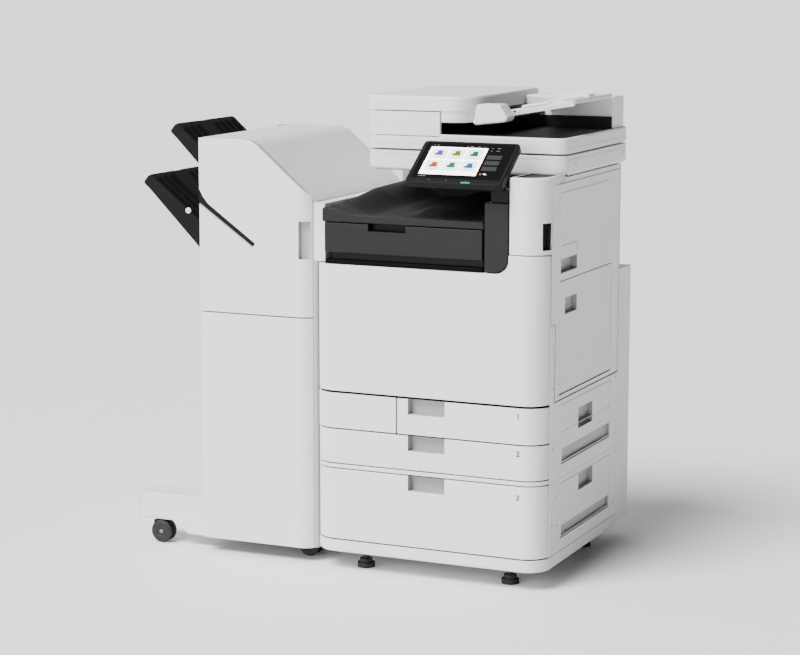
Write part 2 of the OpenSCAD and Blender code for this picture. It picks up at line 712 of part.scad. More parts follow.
// A guide plate with its foot through the slot and a keeper under the tray
module document_guide(y0, s) {
    on_tray() {
        span([24, y0, 9.3], [130, y0 + 3, 30]);
        span([40, min(y0, y0 + s * 22), 9.3], [100, max(y0 + 3, y0 + 3 + s * 22), 12]);
        span([60.4, y0 - 3, -3], [67.6, y0 + 6, 10]);
        span([56, y0 - 3, -4], [72, y0 + 6, -0.4]);
    }
}
module document_guide_front() { color(white) place() document_guide(tray_y0 + 24, -1 / 2); }
module document_guide_rear() { color(white) place() document_guide(tray_y1 - 27, 1 / 2); }

// ---------------------------------------------------------------- control panel

module on_panel() { translate([0, panel_y, panel_z]) rotate([panel_slope, 0, 0]) children(); }

module panel_bracket() {
    x0 = pillar_x0 + 16;
    color(dark) place() {
        span([x0, 6, z_ledge + 168], [x0 + 26, 36, z_scan - 18]);
        span([x0 + 1, pin_y - 5, z_scan - 19], [x0 + 25, pin_y + 5, pin_z]);
        rod_x(x0 + 1, x0 + 25, pin_y, pin_z, 6);
        rod_x(x0 - 14, x0 + 40, pin_y, pin_z, 4);
    }
}

module control_panel() {
    x0 = pillar_x0 + 16;
    color(dark) place() {
        difference() {
            on_panel() {
                difference() {
                    span([panel_x0, 0, -panel_t], [panel_x1, panel_l, 0]);
                    span([panel_x0 + 10, 16, -2], [panel_x1 - 10, panel_l - 8, 1]);
                    span([panel_x0 + 4, 4, -panel_t + 3], [panel_x1 - 4, panel_l - 4, -4]);
                    span([panel_x1 - 40, -1, -11], [panel_x1 - 24, 5, -5]);
                }
                for (s = [-13, 30])
                    span([x0 + s, panel_pin[0] - 8, panel_pin[1] - 7], [x0 + s + 9, panel_pin[0] + 8, -panel_t + 1]);
            }
            rod_x(x0 - 20, x0 + 46, pin_y, pin_z, 4 + fit);
        }
    }
}

module panel_glass() {
    color("#0b0b0d") place() on_panel()
        span([panel_x0 + 10.3, 16.3, -1.95], [panel_x1 - 10.3, panel_l - 8.3, -0.3]);
}

module power_key() {
    color("#8a8a8c") place() on_panel() {
        span([panel_x1 - 39.6, 0.4, -10.6], [panel_x1 - 24.4, 3.9, -5.4]);
        span([panel_x1 - 42, 4.9, -12.6], [panel_x1 - 22, 6.9, -4.4]);
        span([panel_x1 - 38, 3.8, -10], [panel_x1 - 26, 5, -6]);
    }
}

// ---------------------------------------------------------------- right side doors

mp_y0 = 107;
mp_y1 = 483;
mp_z0 = z_door + 19;
mp_z1 = z_door + 296;
mp_pin_z = mp_z0 + 5;
mp_hinge_y = [mp_y0 + 40, mp_y1 - 60];
module right_door() {
    y0 = wrap + seam + 0.8;
    y1 = body_d - 3;
    z0 = z_door + 6;
    z1 = z_scan - 13;
    color(white) place() {
        difference() {
            union() {
                span([body_w - 2.5, wrap + 27, z0], [body_w, y1, z1]);
                span([body_w - 2.5, y0, z_door + 198], [body_w, y1, z1]);
                // raised cover plate
                span([body_w - 1, 104, z1 - 111], [body_w + vent_h, 452, z1 - 22]);
                // ribs
                span([body_w - 10, wrap + 27, z0], [body_w, wrap + 30, z1 - 40]);
                for (z = [z0, mp_z1 + 2, z1 - 30])
                    span([body_w - 10, wrap + 27, z], [body_w, side_pin[1] - 14, z + 3]);
                // grip pocket
                span([body_w - 28, 109, z_door + 314], [body_w - 1, 227, z_door + 386]);
                for (z = [z_door + 60, z_scan - 80])
                    span([side_pin[0] - 3, side_pin[1] - 3.4, z - 13], [body_w - 1, side_pin[1] + 3.4, z - 1]);
            }
            span([body_w - 3.3, mp_y0 - 1, mp_z0 - 2.5], [body_w + 1, mp_y1 + 1, mp_z1 + 1]);
            span([body_w - 26, 111, z_door + 316], [body_w + 1, 225, z_door + 350]);
            for (z = [z_door + 60, z_scan - 80]) rod_z(side_pin[0], side_pin[1], z - 15, z, 1.5 + fit);
        }
        for (y = mp_hinge_y) pin_bracket(y, mp_pin_z);
    }
}

// A flat door with a bottom hinge: used for the side tray and the two small covers
module flap(y0, y1, z0, z1, pin_z, hinge_y, grip_y, grip_z) {
    difference() {
        union() {
            span([body_w - wall, y0, z0], [body_w, y1, z1]);
            span([body_w - 9, y0 + 4, z1 - 6], [body_w - 1, y1 - 4, z1 - 3]);
            for (y = [y0 + 3, y1 - 6]) span([body_w - 9, y, z0 + 16], [body_w - 1, y + 3, z1 - 4]);
            span([body_w - 22, grip_y[0] - 2, grip_z[0] - 2], [body_w - 1, grip_y[1] + 2, grip_z[1] + 2]);
            for (y = hinge_y) span([flap_pin_x - 3.4, y + 5, pin_z - 3.2], [body_w - 1, y + 17, pin_z + 3.2]);
        }
        span([body_w - 20, grip_y[0], grip_z[0]], [body_w + 1, grip_y[1], grip_z[1]]);
        for (y = hinge_y) rod_y(flap_pin_x, y + 4.5, y + 18, pin_z, 1.5 + fit);
    }
}
module multipurpose_tray() {
    color(white) place()
        flap(mp_y0, mp_y1, mp_z0, mp_z1, mp_pin_z, mp_hinge_y, [141, 226], [mp_z1 - 84, mp_z1 - 43]);
}
low_hinge_y = [low_door_y0 + 30, low_door_y1 - 50];
module lower_right_cover() {
    z0 = z_strip + 37;
    z1 = z_door - 9;
    color(white) place()
        flap(low_door_y0, low_door_y1, z0, z1, z_strip + 42, low_hinge_y, [248, 352], [z1 - 82, z1 - 30]);
}
module pedestal_right_cover() {
    z0 = z_drawer3 + 33;
    z1 = z_strip - 13;
    color(white) place()
        flap(low_door_y0, low_door_y1, z0, z1, z_drawer3 + 38, low_hinge_y, [254, 359], [z1 - 45, z1 - 6 + 0.5]);
}

// ---------------------------------------------------------------- print engine

engine_y0 = frame_y0 + 12;
drum_x0 = 120;
drum_z = z_door + 120;
drum_len = frame_y1 - engine_y0;
belt_z = drum_z + drum_r + 22;
belt_x0 = drum_x0 - 40;
belt_x1 = drum_x0 + 3 * drum_pitch + 50;
module drum(i) {
    x = drum_x0 + i * drum_pitch;
    color("#3f6f6a") place() {
        rod_y(x, engine_y0 + 10, frame_y1 - 30, drum_z, drum_r);
        rod_y(x, engine_y0 - 4, frame_y1 - 0.4, drum_z, 5);
        rod_y(x, frame_y1 - 26, frame_y1 - 16, drum_z, drum_r + 4);
    }
}
module drum_1() { drum(0); }
module drum_2() { drum(1); }
module drum_3() { drum(2); }
module drum_4() { drum(3); }

belt_gap = 0.3;
module belt_loop(r) {
    rod_y(belt_x0, engine_y0 + 8, frame_y1 - 34, belt_z, r);
    rod_y(belt_x1, engine_y0 + 8, frame_y1 - 34, belt_z, r);
    span([belt_x0, engine_y0 + 8, belt_z - r], [belt_x1, frame_y1 - 34, belt_z + r]);
}
module transfer_belt() {
    r0 = belt_roller_r + belt_gap;
    color(black) place() difference() {
        belt_loop(r0 + 1);
        rod_y(belt_x0, 0, body_d, belt_z, r0);
        rod_y(belt_x1, 0, body_d, belt_z, r0);
        span([belt_x0, 0, belt_z - r0], [belt_x1, body_d, belt_z + r0]);
    }
}
module belt_roller(x) {
    color(steel) place() {
        rod_y(x, engine_y0 + 6, frame_y1 - 32, belt_z, belt_roller_r);
        rod_y(x, engine_y0 - 4, frame_y1 - 0.4, belt_z, 5);
    }
}
module belt_roller_left() { belt_roller(belt_x0); }
module belt_roller_right() { belt_roller(belt_x1); }

fuser_z = z_door + 210;
fuser_x = inner_x + 22;
module hot_roller(x, z, c) {
    color(c) place() {
        rod_y(x, engine_y0 + 4, frame_y1 - 30, z, fuser_r);
        rod_y(x, engine_y0 - 4, frame_y1 - 0.4, z, 5);
    }
}
module fuser_roller() { hot_roller(fuser_x, fuser_z, "#7a3b2c"); }
module pressure_roller() { hot_roller(fuser_x, fuser_z + 2 * fuser_r + 0.4, "#5a5a5e"); }

// Motor, gear cover, power supply and mains inlet in the box at the back
module drive_unit() {
    color(steel) place() {
        rod_y(300, frame_y1 + 2, frame_y1 + 60, z_door + 120, 36);
        span([120, frame_y1 + 2, z_door + 40], [420, frame_y1 + 20, z_door + 200]);
        span([60, frame_y1 + 2, 90], [260, body_d + rear_box - wall - 12, 200]);
        // mains inlet
        difference() {
            span([85, body_d + rear_box - wall - 14, 111], [111, body_d + rear_box - 0.5, 129]);
            span([88, body_d + rear_box - 14, 114], [108, body_d + rear_box + 1, 126]);
        }
        // fan frame
        difference() {
            span([425, frame_y1 + 2, 510], [530, frame_y1 + 32, 610]);
            rod_y(477.5, frame_y1 + 6, frame_y1 + 40, 560, 44);
        }
        rod_y(477.5, frame_y1 + 5, frame_y1 + 28, 560, 2.5);
    }
}
module cooling_fan() {
    color(black) place() {
        difference() {
            union() {
                rod_y(477.5, frame_y1 + 8, frame_y1 + 29, 560, 16);
                for (a = [0:45:315])
                    translate([477.5, 0, 560]) rotate([0, a, 0])
                        span([14, frame_y1 + 10, -1.2], [41, frame_y1 + 27, 1.2]);
            }
            rod_y(477.5, frame_y1 + 7, frame_y1 + 28 + fit, 560, 2.5 + fit);
        }
    }
}

// ---------------------------------------------------------------- feet

feet = [[121, 64], [body_w - 109, 71], [121, body_d - 90], [body_w - 70, body_d - 60]];
module levelling_feet() {
    color(rubber) place()
        for (f = feet) {
            rod_z(f[0], f[1], 0, 12, 22);
            rod_z(f[0], f[1], 11, 22, 16);
            rod_z(f[0], f[1], 21, base_z, 8);
            rod_z(f[0], f[1], base_z - 6, base_z, 18);
        }
    // feet under the back of the finisher
    color(rubber) place()
        for (x = [fin_x0 + 60, fin_x1 - 60]) {
            rod_z(x, fin_y1 - 70, 0, 14, 20);
            rod_z(x, fin_y1 - 70, 13, fin_base, 9);
        }
}

// ---------------------------------------------------------------- finisher

// Front outline of the finisher above its split: flat top, round shoulder, slope, right wall
function fin_top(i) = concat(
    arc([fin_x0 + shoulder_x, finisher_h - shoulder_r], shoulder_r - i, 90, 48),
    arc([fin_x1 - 30, fin_right_z + 2], 18 - i, 48, 25, 6));
module finisher_plan(z0, z1, i) {
    prism(plan(fin_x0 + i, fin_x1 - i, fin_y0 + i, fin_y1 - i, 0, finisher_r - i), z0, z1);
}
module finisher_silhouette(y0, y1, i, z0) {
    profile_y(concat([[fin_x0 + i, z0]], [[fin_x0 + i, finisher_h - i]], fin_top(i),
        [[fin_x1 - i, fin_right_z - 4 - i], [fin_x1 - i, z0]]), y0, y1);
}

module finisher_frame() {
    color(steel) place() {
        span([fin_x0 + 4, fin_band + 14, fin_base], [fin_x1 - 6, fin_y1 - 4, fin_base + 4]);
        span([fin_x0 + 6, fin_y1 - 12, fin_base], [fin_x1 - 6, fin_y1 - 9, finisher_h - 160]);
        span([fin_x1 - 12, fin_band + 26, fin_base], [fin_x1 - 9, fin_y1 - 9, finisher_h - 160]);
        span([fin_x0 + 4, fin_band + 8, fin_base], [fin_x0 + 6, fin_band + 40, finisher_h - 50]);
        span([fin_x0 + 4, fin_y1 - 40, fin_base], [fin_x0 + 6, fin_y1 - 9, finisher_h - 50]);
        span([fin_x0 + 4, fin_band + 6, finisher_split - 6], [fin_x1 - 9, fin_band + 30, finisher_split - 2]);
        // hinge lugs of the front door
        for (z = [finisher_split + 30, finisher_h - 60]) {
            span([fin_pin[0] - 2.5, fin_pin[1] - 2.5, z], [fin_pin[0] + 14, fin_pin[1] + 2.5, z + 4]);
            span([fin_pin[0] + 10.5, fin_pin[1] - 2.5, z], [fin_pin[0] + 14, fin_band + 12, z + 4]);
            span([fin_x0 + 4, fin_band + 8, z], [fin_pin[0] + 14, fin_band + 12, z + 4]);
            rod_z(fin_pin[0], fin_pin[1], z - 14, z + 1, 1.5);
        }
        // docking hooks that reach across to the main unit
        for (z = dock_z) span([fin_x1 - 10, dock_y, z], [-0.4, dock_y + 40, z + 16]);
        // outrigger arm with its cap
        profile_y([[arm_x0, arm_z], [arm_x0 + 105, arm_z], [arm_x0 + 147, 30], [fin_x0 - 0.8, 30],
            [fin_x0 - 0.8, 135], [arm_x0 + 12, 135]], 60, 130);
        span([fin_x0 - 2, 60, fin_base], [fin_x0 + 5, 130, fin_base + 4]);
    }
}

tray_slots = [140, 340];
module finisher_panels() {
    color(white) place() {
        // left wall with the slots of the two trays
        difference() {
            span([fin_x0, fin_band + seam, 36], [fin_x0 + wall, fin_y1, fin_left_z]);
            for (y = tray_slots) span([fin_x0 - 1, y - 2, 540], [fin_x0 + 4, y + 24, finisher_h - 60]);
            span([fin_x0 - 3, 59, fin_base - 1], [fin_x0 + 6, 131, fin_base + 5]);
        }
        span([fin_x0 + wall + seam, fin_y1 - wall, 36], [fin_x1, fin_y1, finisher_h - 152]);
        intersection() {
            difference() {
                finisher_plan(36, finisher_h - 152, 0);
                finisher_plan(35, finisher_h - 151, wall);
            }
            difference() {
                span([fin_x1 - 28, fin_band + seam, 30], [fin_x1 + 1, fin_y1 - wall - seam, finisher_h]);
                for (z = dock_z)
                    span([fin_x1 - 9, dock_y - 0.5, z - 0.5], [fin_x1 + 2, dock_y + 40.5, z + 16.5]);
            }
        }
    }
}

fin_pin = [fin_x0 + 7, fin_y0 + 8];
module finisher_front_door() {
    z0 = finisher_split + 1.5;
    color(white) place() {
        difference() {
            union() {
                difference() {
                    intersection() {
                        finisher_silhouette(fin_y0, fin_band - 1, 0, z0);
                        finisher_plan(z0, finisher_h, 0);
                    }
                    intersection() {
                        finisher_silhouette(fin_y0 + wall, fin_band + 1, wall, z0 + wall);
                        finisher_plan(z0 + wall, finisher_h, wall);
                    }
                }
                for (z = [finisher_split + 30, finisher_h - 60])
                    span([fin_x0 + 1, fin_y0 + 1, z - 13], [fin_x0 + 11, fin_y0 + 11, z - 1]);
                // pull recess lining
                span([fin_x1 - 42, fin_y0 + 1, finisher_split + 146], [fin_x1 - 13, fin_band - 1, finisher_split + 247]);
            }
            for (z = [finisher_split + 30, finisher_h - 60])
                rod_z(fin_pin[0], fin_pin[1], z - 15, z, 1.5 + fit);
            span([fin_x1 - 39, fin_y0 - 1, finisher_split + 149], [fin_x1 + 1, fin_band - 4, finisher_split + 244]);
            // left edge set back so that it clears the side wall as it swings
            span([fin_x0 - 1, fin_y0 + 16, z0 - 1], [fin_x0 + 12, fin_band + 1, finisher_h + 1]);
            // sloping paper slot
            profile_y([[fin_x0 - 1, finisher_h - 130], [fin_x0 + 14, finisher_h - 156], [fin_x0 + 25, finisher_h - 166],
                [fin_x0 + 160, finisher_h - 262], [fin_x0 + 152, finisher_h - 270], [fin_x0 + 2, finisher_h - 168],
                [fin_x0 - 1, finisher_h - 168]], fin_y0 - 1, fin_band + 1);
        }
    }
}

module finisher_lower_cover() {
    z1 = finisher_split - 1.5;
    color(white) place() {
        difference() {
            intersection() {
                finisher_plan(36, z1, 0);
                span([fin_x0 - 1, fin_y0 - 1, 30], [fin_x1 + 1, fin_band, z1 + 1]);
            }
            finisher_plan(30, z1 - wall, wall);
        }
        // shelf that screws to the base plate
        span([fin_x0 + 20, fin_y0 + 2, fin_base + 1], [fin_x1 - 60, fin_band + 13.6, fin_base + 3]);
    }
}

module finisher_hood() {
    color(white) place() {
        difference() {
            finisher_silhouette(fin_band, fin_y1, 0, finisher_h - 200);
            finisher_silhouette(fin_band + wall, fin_y1 - wall, wall, finisher_h - 201);
            // the left wall stops above the side panel, and the front wall leaves room for the door's lug
            span([fin_x0 - 1, fin_band - 1, finisher_h - 210], [fin_x0 + wall + seam, fin_y1 + 1, fin_left_z + seam]);
            span([fin_x0 - 1, fin_band - 1, finisher_h - 210], [fin_x0 + 60, fin_band + wall + 1, fin_left_z + seam]);
            span([fin_x0 - 1, fin_band - 1, finisher_h - 210], [fin_x1 + 1, fin_y1 + 1, finisher_h - 151]);
        }
        // paper guide above the upper tray
        span([fin_x0 - 32, fin_y1 - 50, finisher_h - 15], [fin_x0 + 1, fin_y1 - 12, finisher_h - 3]);
    }
}

// A stacking tray outside the left wall, carried by two arms through the slots
module stacking_tray(tip_x, tip_z, wall_z, thick, y0, y1, arm_z) {
    x1 = fin_x0 - 0.8;
    difference() {
        profile_y([[x1, wall_z], [tip_x + 16, tip_z + 20], [tip_x, tip_z], [tip_x + 22, tip_z - 20],
            [x1, wall_z - thick]], y0, y1);
        // hollow under the skin
        profile_y([[x1 - 5, wall_z - 9], [tip_x + 26, tip_z + 6], [tip_x + 26, tip_z - 10],
            [x1 - 5, wall_z - thick + 5]], y0 + 4, y1 - 4);
        // notch in the outer edge
        span([tip_x - 1, (y0 + y1) / 2 - 45, tip_z - 60], [tip_x + 24, (y0 + y1) / 2 + 5, tip_z + 30]);
    }
    for (y = tray_slots) {
        span([x1 - 1, y, arm_z - 30], [fin_x0 + 20, y + 20, arm_z]);
        span([fin_x0 + 12, y - 6, arm_z - 40], [fin_x0 + 20, y + 26, arm_z + 10]);
    }
}
module upper_tray() {
    color(black) place() stacking_tray(fin_x0 - 118, finisher_h + 8, finisher_h - 62, 46, 100, 400, finisher_h - 70);
}
module lower_tray() {
    color(black) place() stacking_tray(fin_x0 - 194, finisher_h - 126, finisher_h - 248, 70, 90, 400, finisher_h - 270);
}

// Twin-wheel casters: a fork that swivels on its stem and a pair of wheels on its axle
trail = 14;
caster_left = [arm_x0 + 55, 72];
caster_right = [fin_x1 - 62, fin_y0 + 78];
module caster_fork(c, top) {
    color(black) place() {
        rod_z(c[0], c[1], 2 * wheel_r - 12, top, 7);
        difference() {
            span([c[0] - 14, c[1] - 5, wheel_r - 8], [c[0] + 14 + trail, c[1] + 5, 2 * wheel_r - 4]);
            rod_y(c[0] + trail, c[1] - 6, c[1] + 6, wheel_r, 4 + fit);
        }
    }
}
module caster_wheels(c) {
    color(rubber) place() {
        rod_y(c[0] + trail, c[1] - 17, c[1] + 17, wheel_r, 4);
        for (y = [c[1] - 17, c[1] + 7]) rod_y(c[0] + trail, y, y + 10, wheel_r, wheel_r);
    }
}
module caster_fork_left() { caster_fork(caster_left, arm_z - 0.3); }
module caster_wheels_left() { caster_wheels(caster_left); }
module caster_fork_right() { caster_fork(caster_right, fin_base - 0.3); }
module caster_wheels_right() { caster_wheels(caster_right); }

main_frame();
base_cover();
front_strips();
left_cover();
right_side_covers();
rear_covers();
upper_front_cover();
pillar_cover();
front_door();
cassette_1_front();
cassette_1_tray();
cassette_2_front();
cassette_2_tray();
cassette_3_front();
cassette_3_tray();
cassette_rails();
pass_unit();
delivery_tray();
scanner_housing();
platen_glass();
scan_carriage();
carriage_rods();
feeder_base();
feeder_cover();
input_tray();
document_guide_front();
document_guide_rear();
feeder_hinges();
feeder_roller();
panel_bracket();
control_panel();
panel_glass();
power_key();
right_door();
multipurpose_tray();
lower_right_cover();
pedestal_right_cover();
drum_1();
drum_2();
drum_3();
drum_4();
transfer_belt();
belt_roller_left();
belt_roller_right();
fuser_roller();
pressure_roller();
drive_unit();
cooling_fan();
levelling_feet();
finisher_frame();
finisher_panels();
finisher_front_door();
finisher_lower_cover();
finisher_hood();
upper_tray();
lower_tray();
caster_fork_left();
caster_wheels_left();
caster_fork_right();
caster_wheels_right();
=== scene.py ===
import math

import bpy
import numpy as np
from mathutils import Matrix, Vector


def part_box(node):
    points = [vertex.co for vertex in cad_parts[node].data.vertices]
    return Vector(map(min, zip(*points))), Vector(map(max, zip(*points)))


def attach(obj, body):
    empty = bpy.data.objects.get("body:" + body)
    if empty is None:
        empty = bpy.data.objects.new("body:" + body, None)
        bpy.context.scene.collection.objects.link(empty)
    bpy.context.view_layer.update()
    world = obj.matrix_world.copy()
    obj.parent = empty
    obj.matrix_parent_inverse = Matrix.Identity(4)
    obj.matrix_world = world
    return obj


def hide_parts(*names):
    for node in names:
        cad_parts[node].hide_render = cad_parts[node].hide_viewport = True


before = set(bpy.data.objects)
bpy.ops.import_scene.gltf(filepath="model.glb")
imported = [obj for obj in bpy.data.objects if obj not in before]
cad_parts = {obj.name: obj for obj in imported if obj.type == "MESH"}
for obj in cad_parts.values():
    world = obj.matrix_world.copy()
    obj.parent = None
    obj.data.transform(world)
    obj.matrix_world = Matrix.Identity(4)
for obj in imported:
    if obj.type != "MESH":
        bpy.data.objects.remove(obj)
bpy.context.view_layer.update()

# ---- Base moulding
# The tray that the whole main unit stands on. It is injection-moulded ABS, left as it
# comes from the tool, with a fine spark-eroded grain and soft outer edges.

unit_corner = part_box("base_cover")[0].copy()
unit_corner.z = 0


def extent(node):
    """x0, x1, y0, y1, z0, z1 of a CAD node, in millimetres from the main unit's front left foot."""
    low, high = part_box(node)
    return [v * 1000 for pair in zip(low - unit_corner, high - unit_corner) for v in pair]


def linear(colour):
    """An sRGB hex colour as linear light: a channel c is ((c + 0.055) / 1.055) to the power 2.4."""
    c = np.array([int(colour[i:i + 2], 16) / 255 for i in (1, 3, 5)])
    return (*np.where(c <= 0.04045, c / 12.92, ((c + 0.055) / 1.055) ** 2.4), 1.0)


def add(material, kind, inputs, **settings):
    """Adds a node, applies its settings, and sets each socket or links it to another's output."""
    made = material.node_tree.nodes.new("ShaderNode" + kind)
    for key, value in settings.items():
        setattr(made, key, value)
    for key, value in inputs.items():
        if isinstance(value, bpy.types.NodeSocket):
            material.node_tree.links.new(value, made.inputs[key])
        else:
            made.inputs[key].default_value = value
    return made


def shaded(name, values):
    """A new material and its shader, with the values set on the shader's sockets."""
    made = bpy.data.materials.new(name)
    made.use_nodes = True
    shader = made.node_tree.nodes["Principled BSDF"]
    for socket, value in values.items():
        shader.inputs[socket].default_value = value
    return made, shader


def finish_of(name, colour, shade, roughness, grain, depth, metallic=0.0, stretch=(1, 1, 1), shine=0.5):
    """A material whose colour drifts to a shade in broad clouds. A fine grain of the given size in
    millimetres moves its roughness by spread and its surface by depth millimetres. shine is the
    strength of a non-metal's highlight, and stretch scales both patterns along each axis."""
    cloud_size, spread = 160, 0.05
    made, shader = shaded(name, {"Metallic": metallic, "Specular IOR Level": shine})
    place = add(made, "Mapping", {"Vector": add(made, "TexCoord", {}).outputs["Object"], "Scale": stretch})
    clouds = add(made, "TexNoise", {"Vector": place.outputs[0], "Scale": 1000 / cloud_size, "Detail": 3.0})
    tint = add(made, "MixRGB", {"Fac": clouds.outputs["Fac"], "Color1": linear(colour),
                                "Color2": linear(shade)})
    fine = add(made, "TexNoise", {"Vector": place.outputs[0], "Scale": 1000 / grain, "Detail": 2.0})
    gloss = add(made, "MapRange", {"Value": fine.outputs["Fac"], "From Min": 0.3, "From Max": 0.7,
                                   "To Min": roughness - spread, "To Max": roughness + spread})
    relief = add(made, "Bump", {"Height": fine.outputs["Fac"], "Distance": depth / 1000, "Strength": 0.6})
    links = made.node_tree.links
    links.new(tint.outputs[0], shader.inputs["Base Color"])
    links.new(gloss.outputs[0], shader.inputs["Roughness"])
    links.new(relief.outputs[0], shader.inputs["Normal"])
    return made


# White moulded ABS, spark-eroded: an even, slightly cool white with a soft satin highlight.
# The real grain is near 0.1 mm and is drawn at 1.6 mm, so that it still shows.
white_abs = finish_of("white_moulded_abs", "#E3E4E5", "#DCDDDE", 0.42, 1.6, 0.03)


def put(name, data):
    """A new object of that name and data, in the scene."""
    made = bpy.data.objects.new(name, data)
    bpy.context.scene.collection.objects.link(made)
    return made


def quads(rows, columns, closed=False):
    """The corners of each cell of a grid, row by row. A closed grid joins its last column to its first."""
    i = np.arange(rows - 1)[:, None] * columns
    j = np.arange(columns - (not closed))[None, :]
    k = (j + 1) % columns
    return np.stack([i + j, i + k, i + columns + k, i + columns + j], -1).reshape(-1, 4)


def piece(name, body, points, faces, finishes, which=None, stands_for=(), slot=None, smooth=30):
    """Makes a mesh from millimetre points and lets it ride on a body. which is each face's finish.
    A piece that stands for CAD nodes hides them. slot is not used."""
    mesh = bpy.data.meshes.new(name)
    mesh.from_pydata(points.reshape(-1, 3) / 1000 + np.array(unit_corner), [], faces)
    for finish in finishes:
        mesh.materials.append(finish)
    if which is not None:
        mesh.polygons.foreach_set("material_index", np.asarray(which, np.int32))
    mesh.shade_smooth()
    mesh.set_sharp_from_angle(angle=math.radians(smooth))
    mesh.update()
    made = put(name, mesh)
    level = made.modifiers.new("flat_faces", "WEIGHTED_NORMAL")
    level.keep_sharp = True
    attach(made, body)
    if stands_for:
        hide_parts(*stands_for)
        slot = slot or stands_for[0]
    return made


def rolled(z0, z1, edges, returns, stops):
    """Heights and insets of a wall from bottom to top: quarter circles of the two edge radii,
    flat returns that go on inwards, and the stops in between."""
    a = np.radians(np.linspace(0, 90, 5))
    low, high = edges
    z = [z0 + low * (1 - np.cos(a)), z1 - high * (1 - np.sin(a))]
    i = [low * (1 - np.sin(a)), high * (1 - np.cos(a))]
    between = sorted(s for s in set(stops) if z0 + low < s < z1 - high)
    zs = np.concatenate([z[0], between, z[1]])
    ins = np.concatenate([i[0], np.zeros(len(between)), i[1]])
    if returns[0]:
        zs, ins = np.append(z0, zs), np.append(returns[0], ins)
    if returns[1]:
        zs, ins = np.append(zs, z1), np.append(ins, returns[1])
    return zs, ins


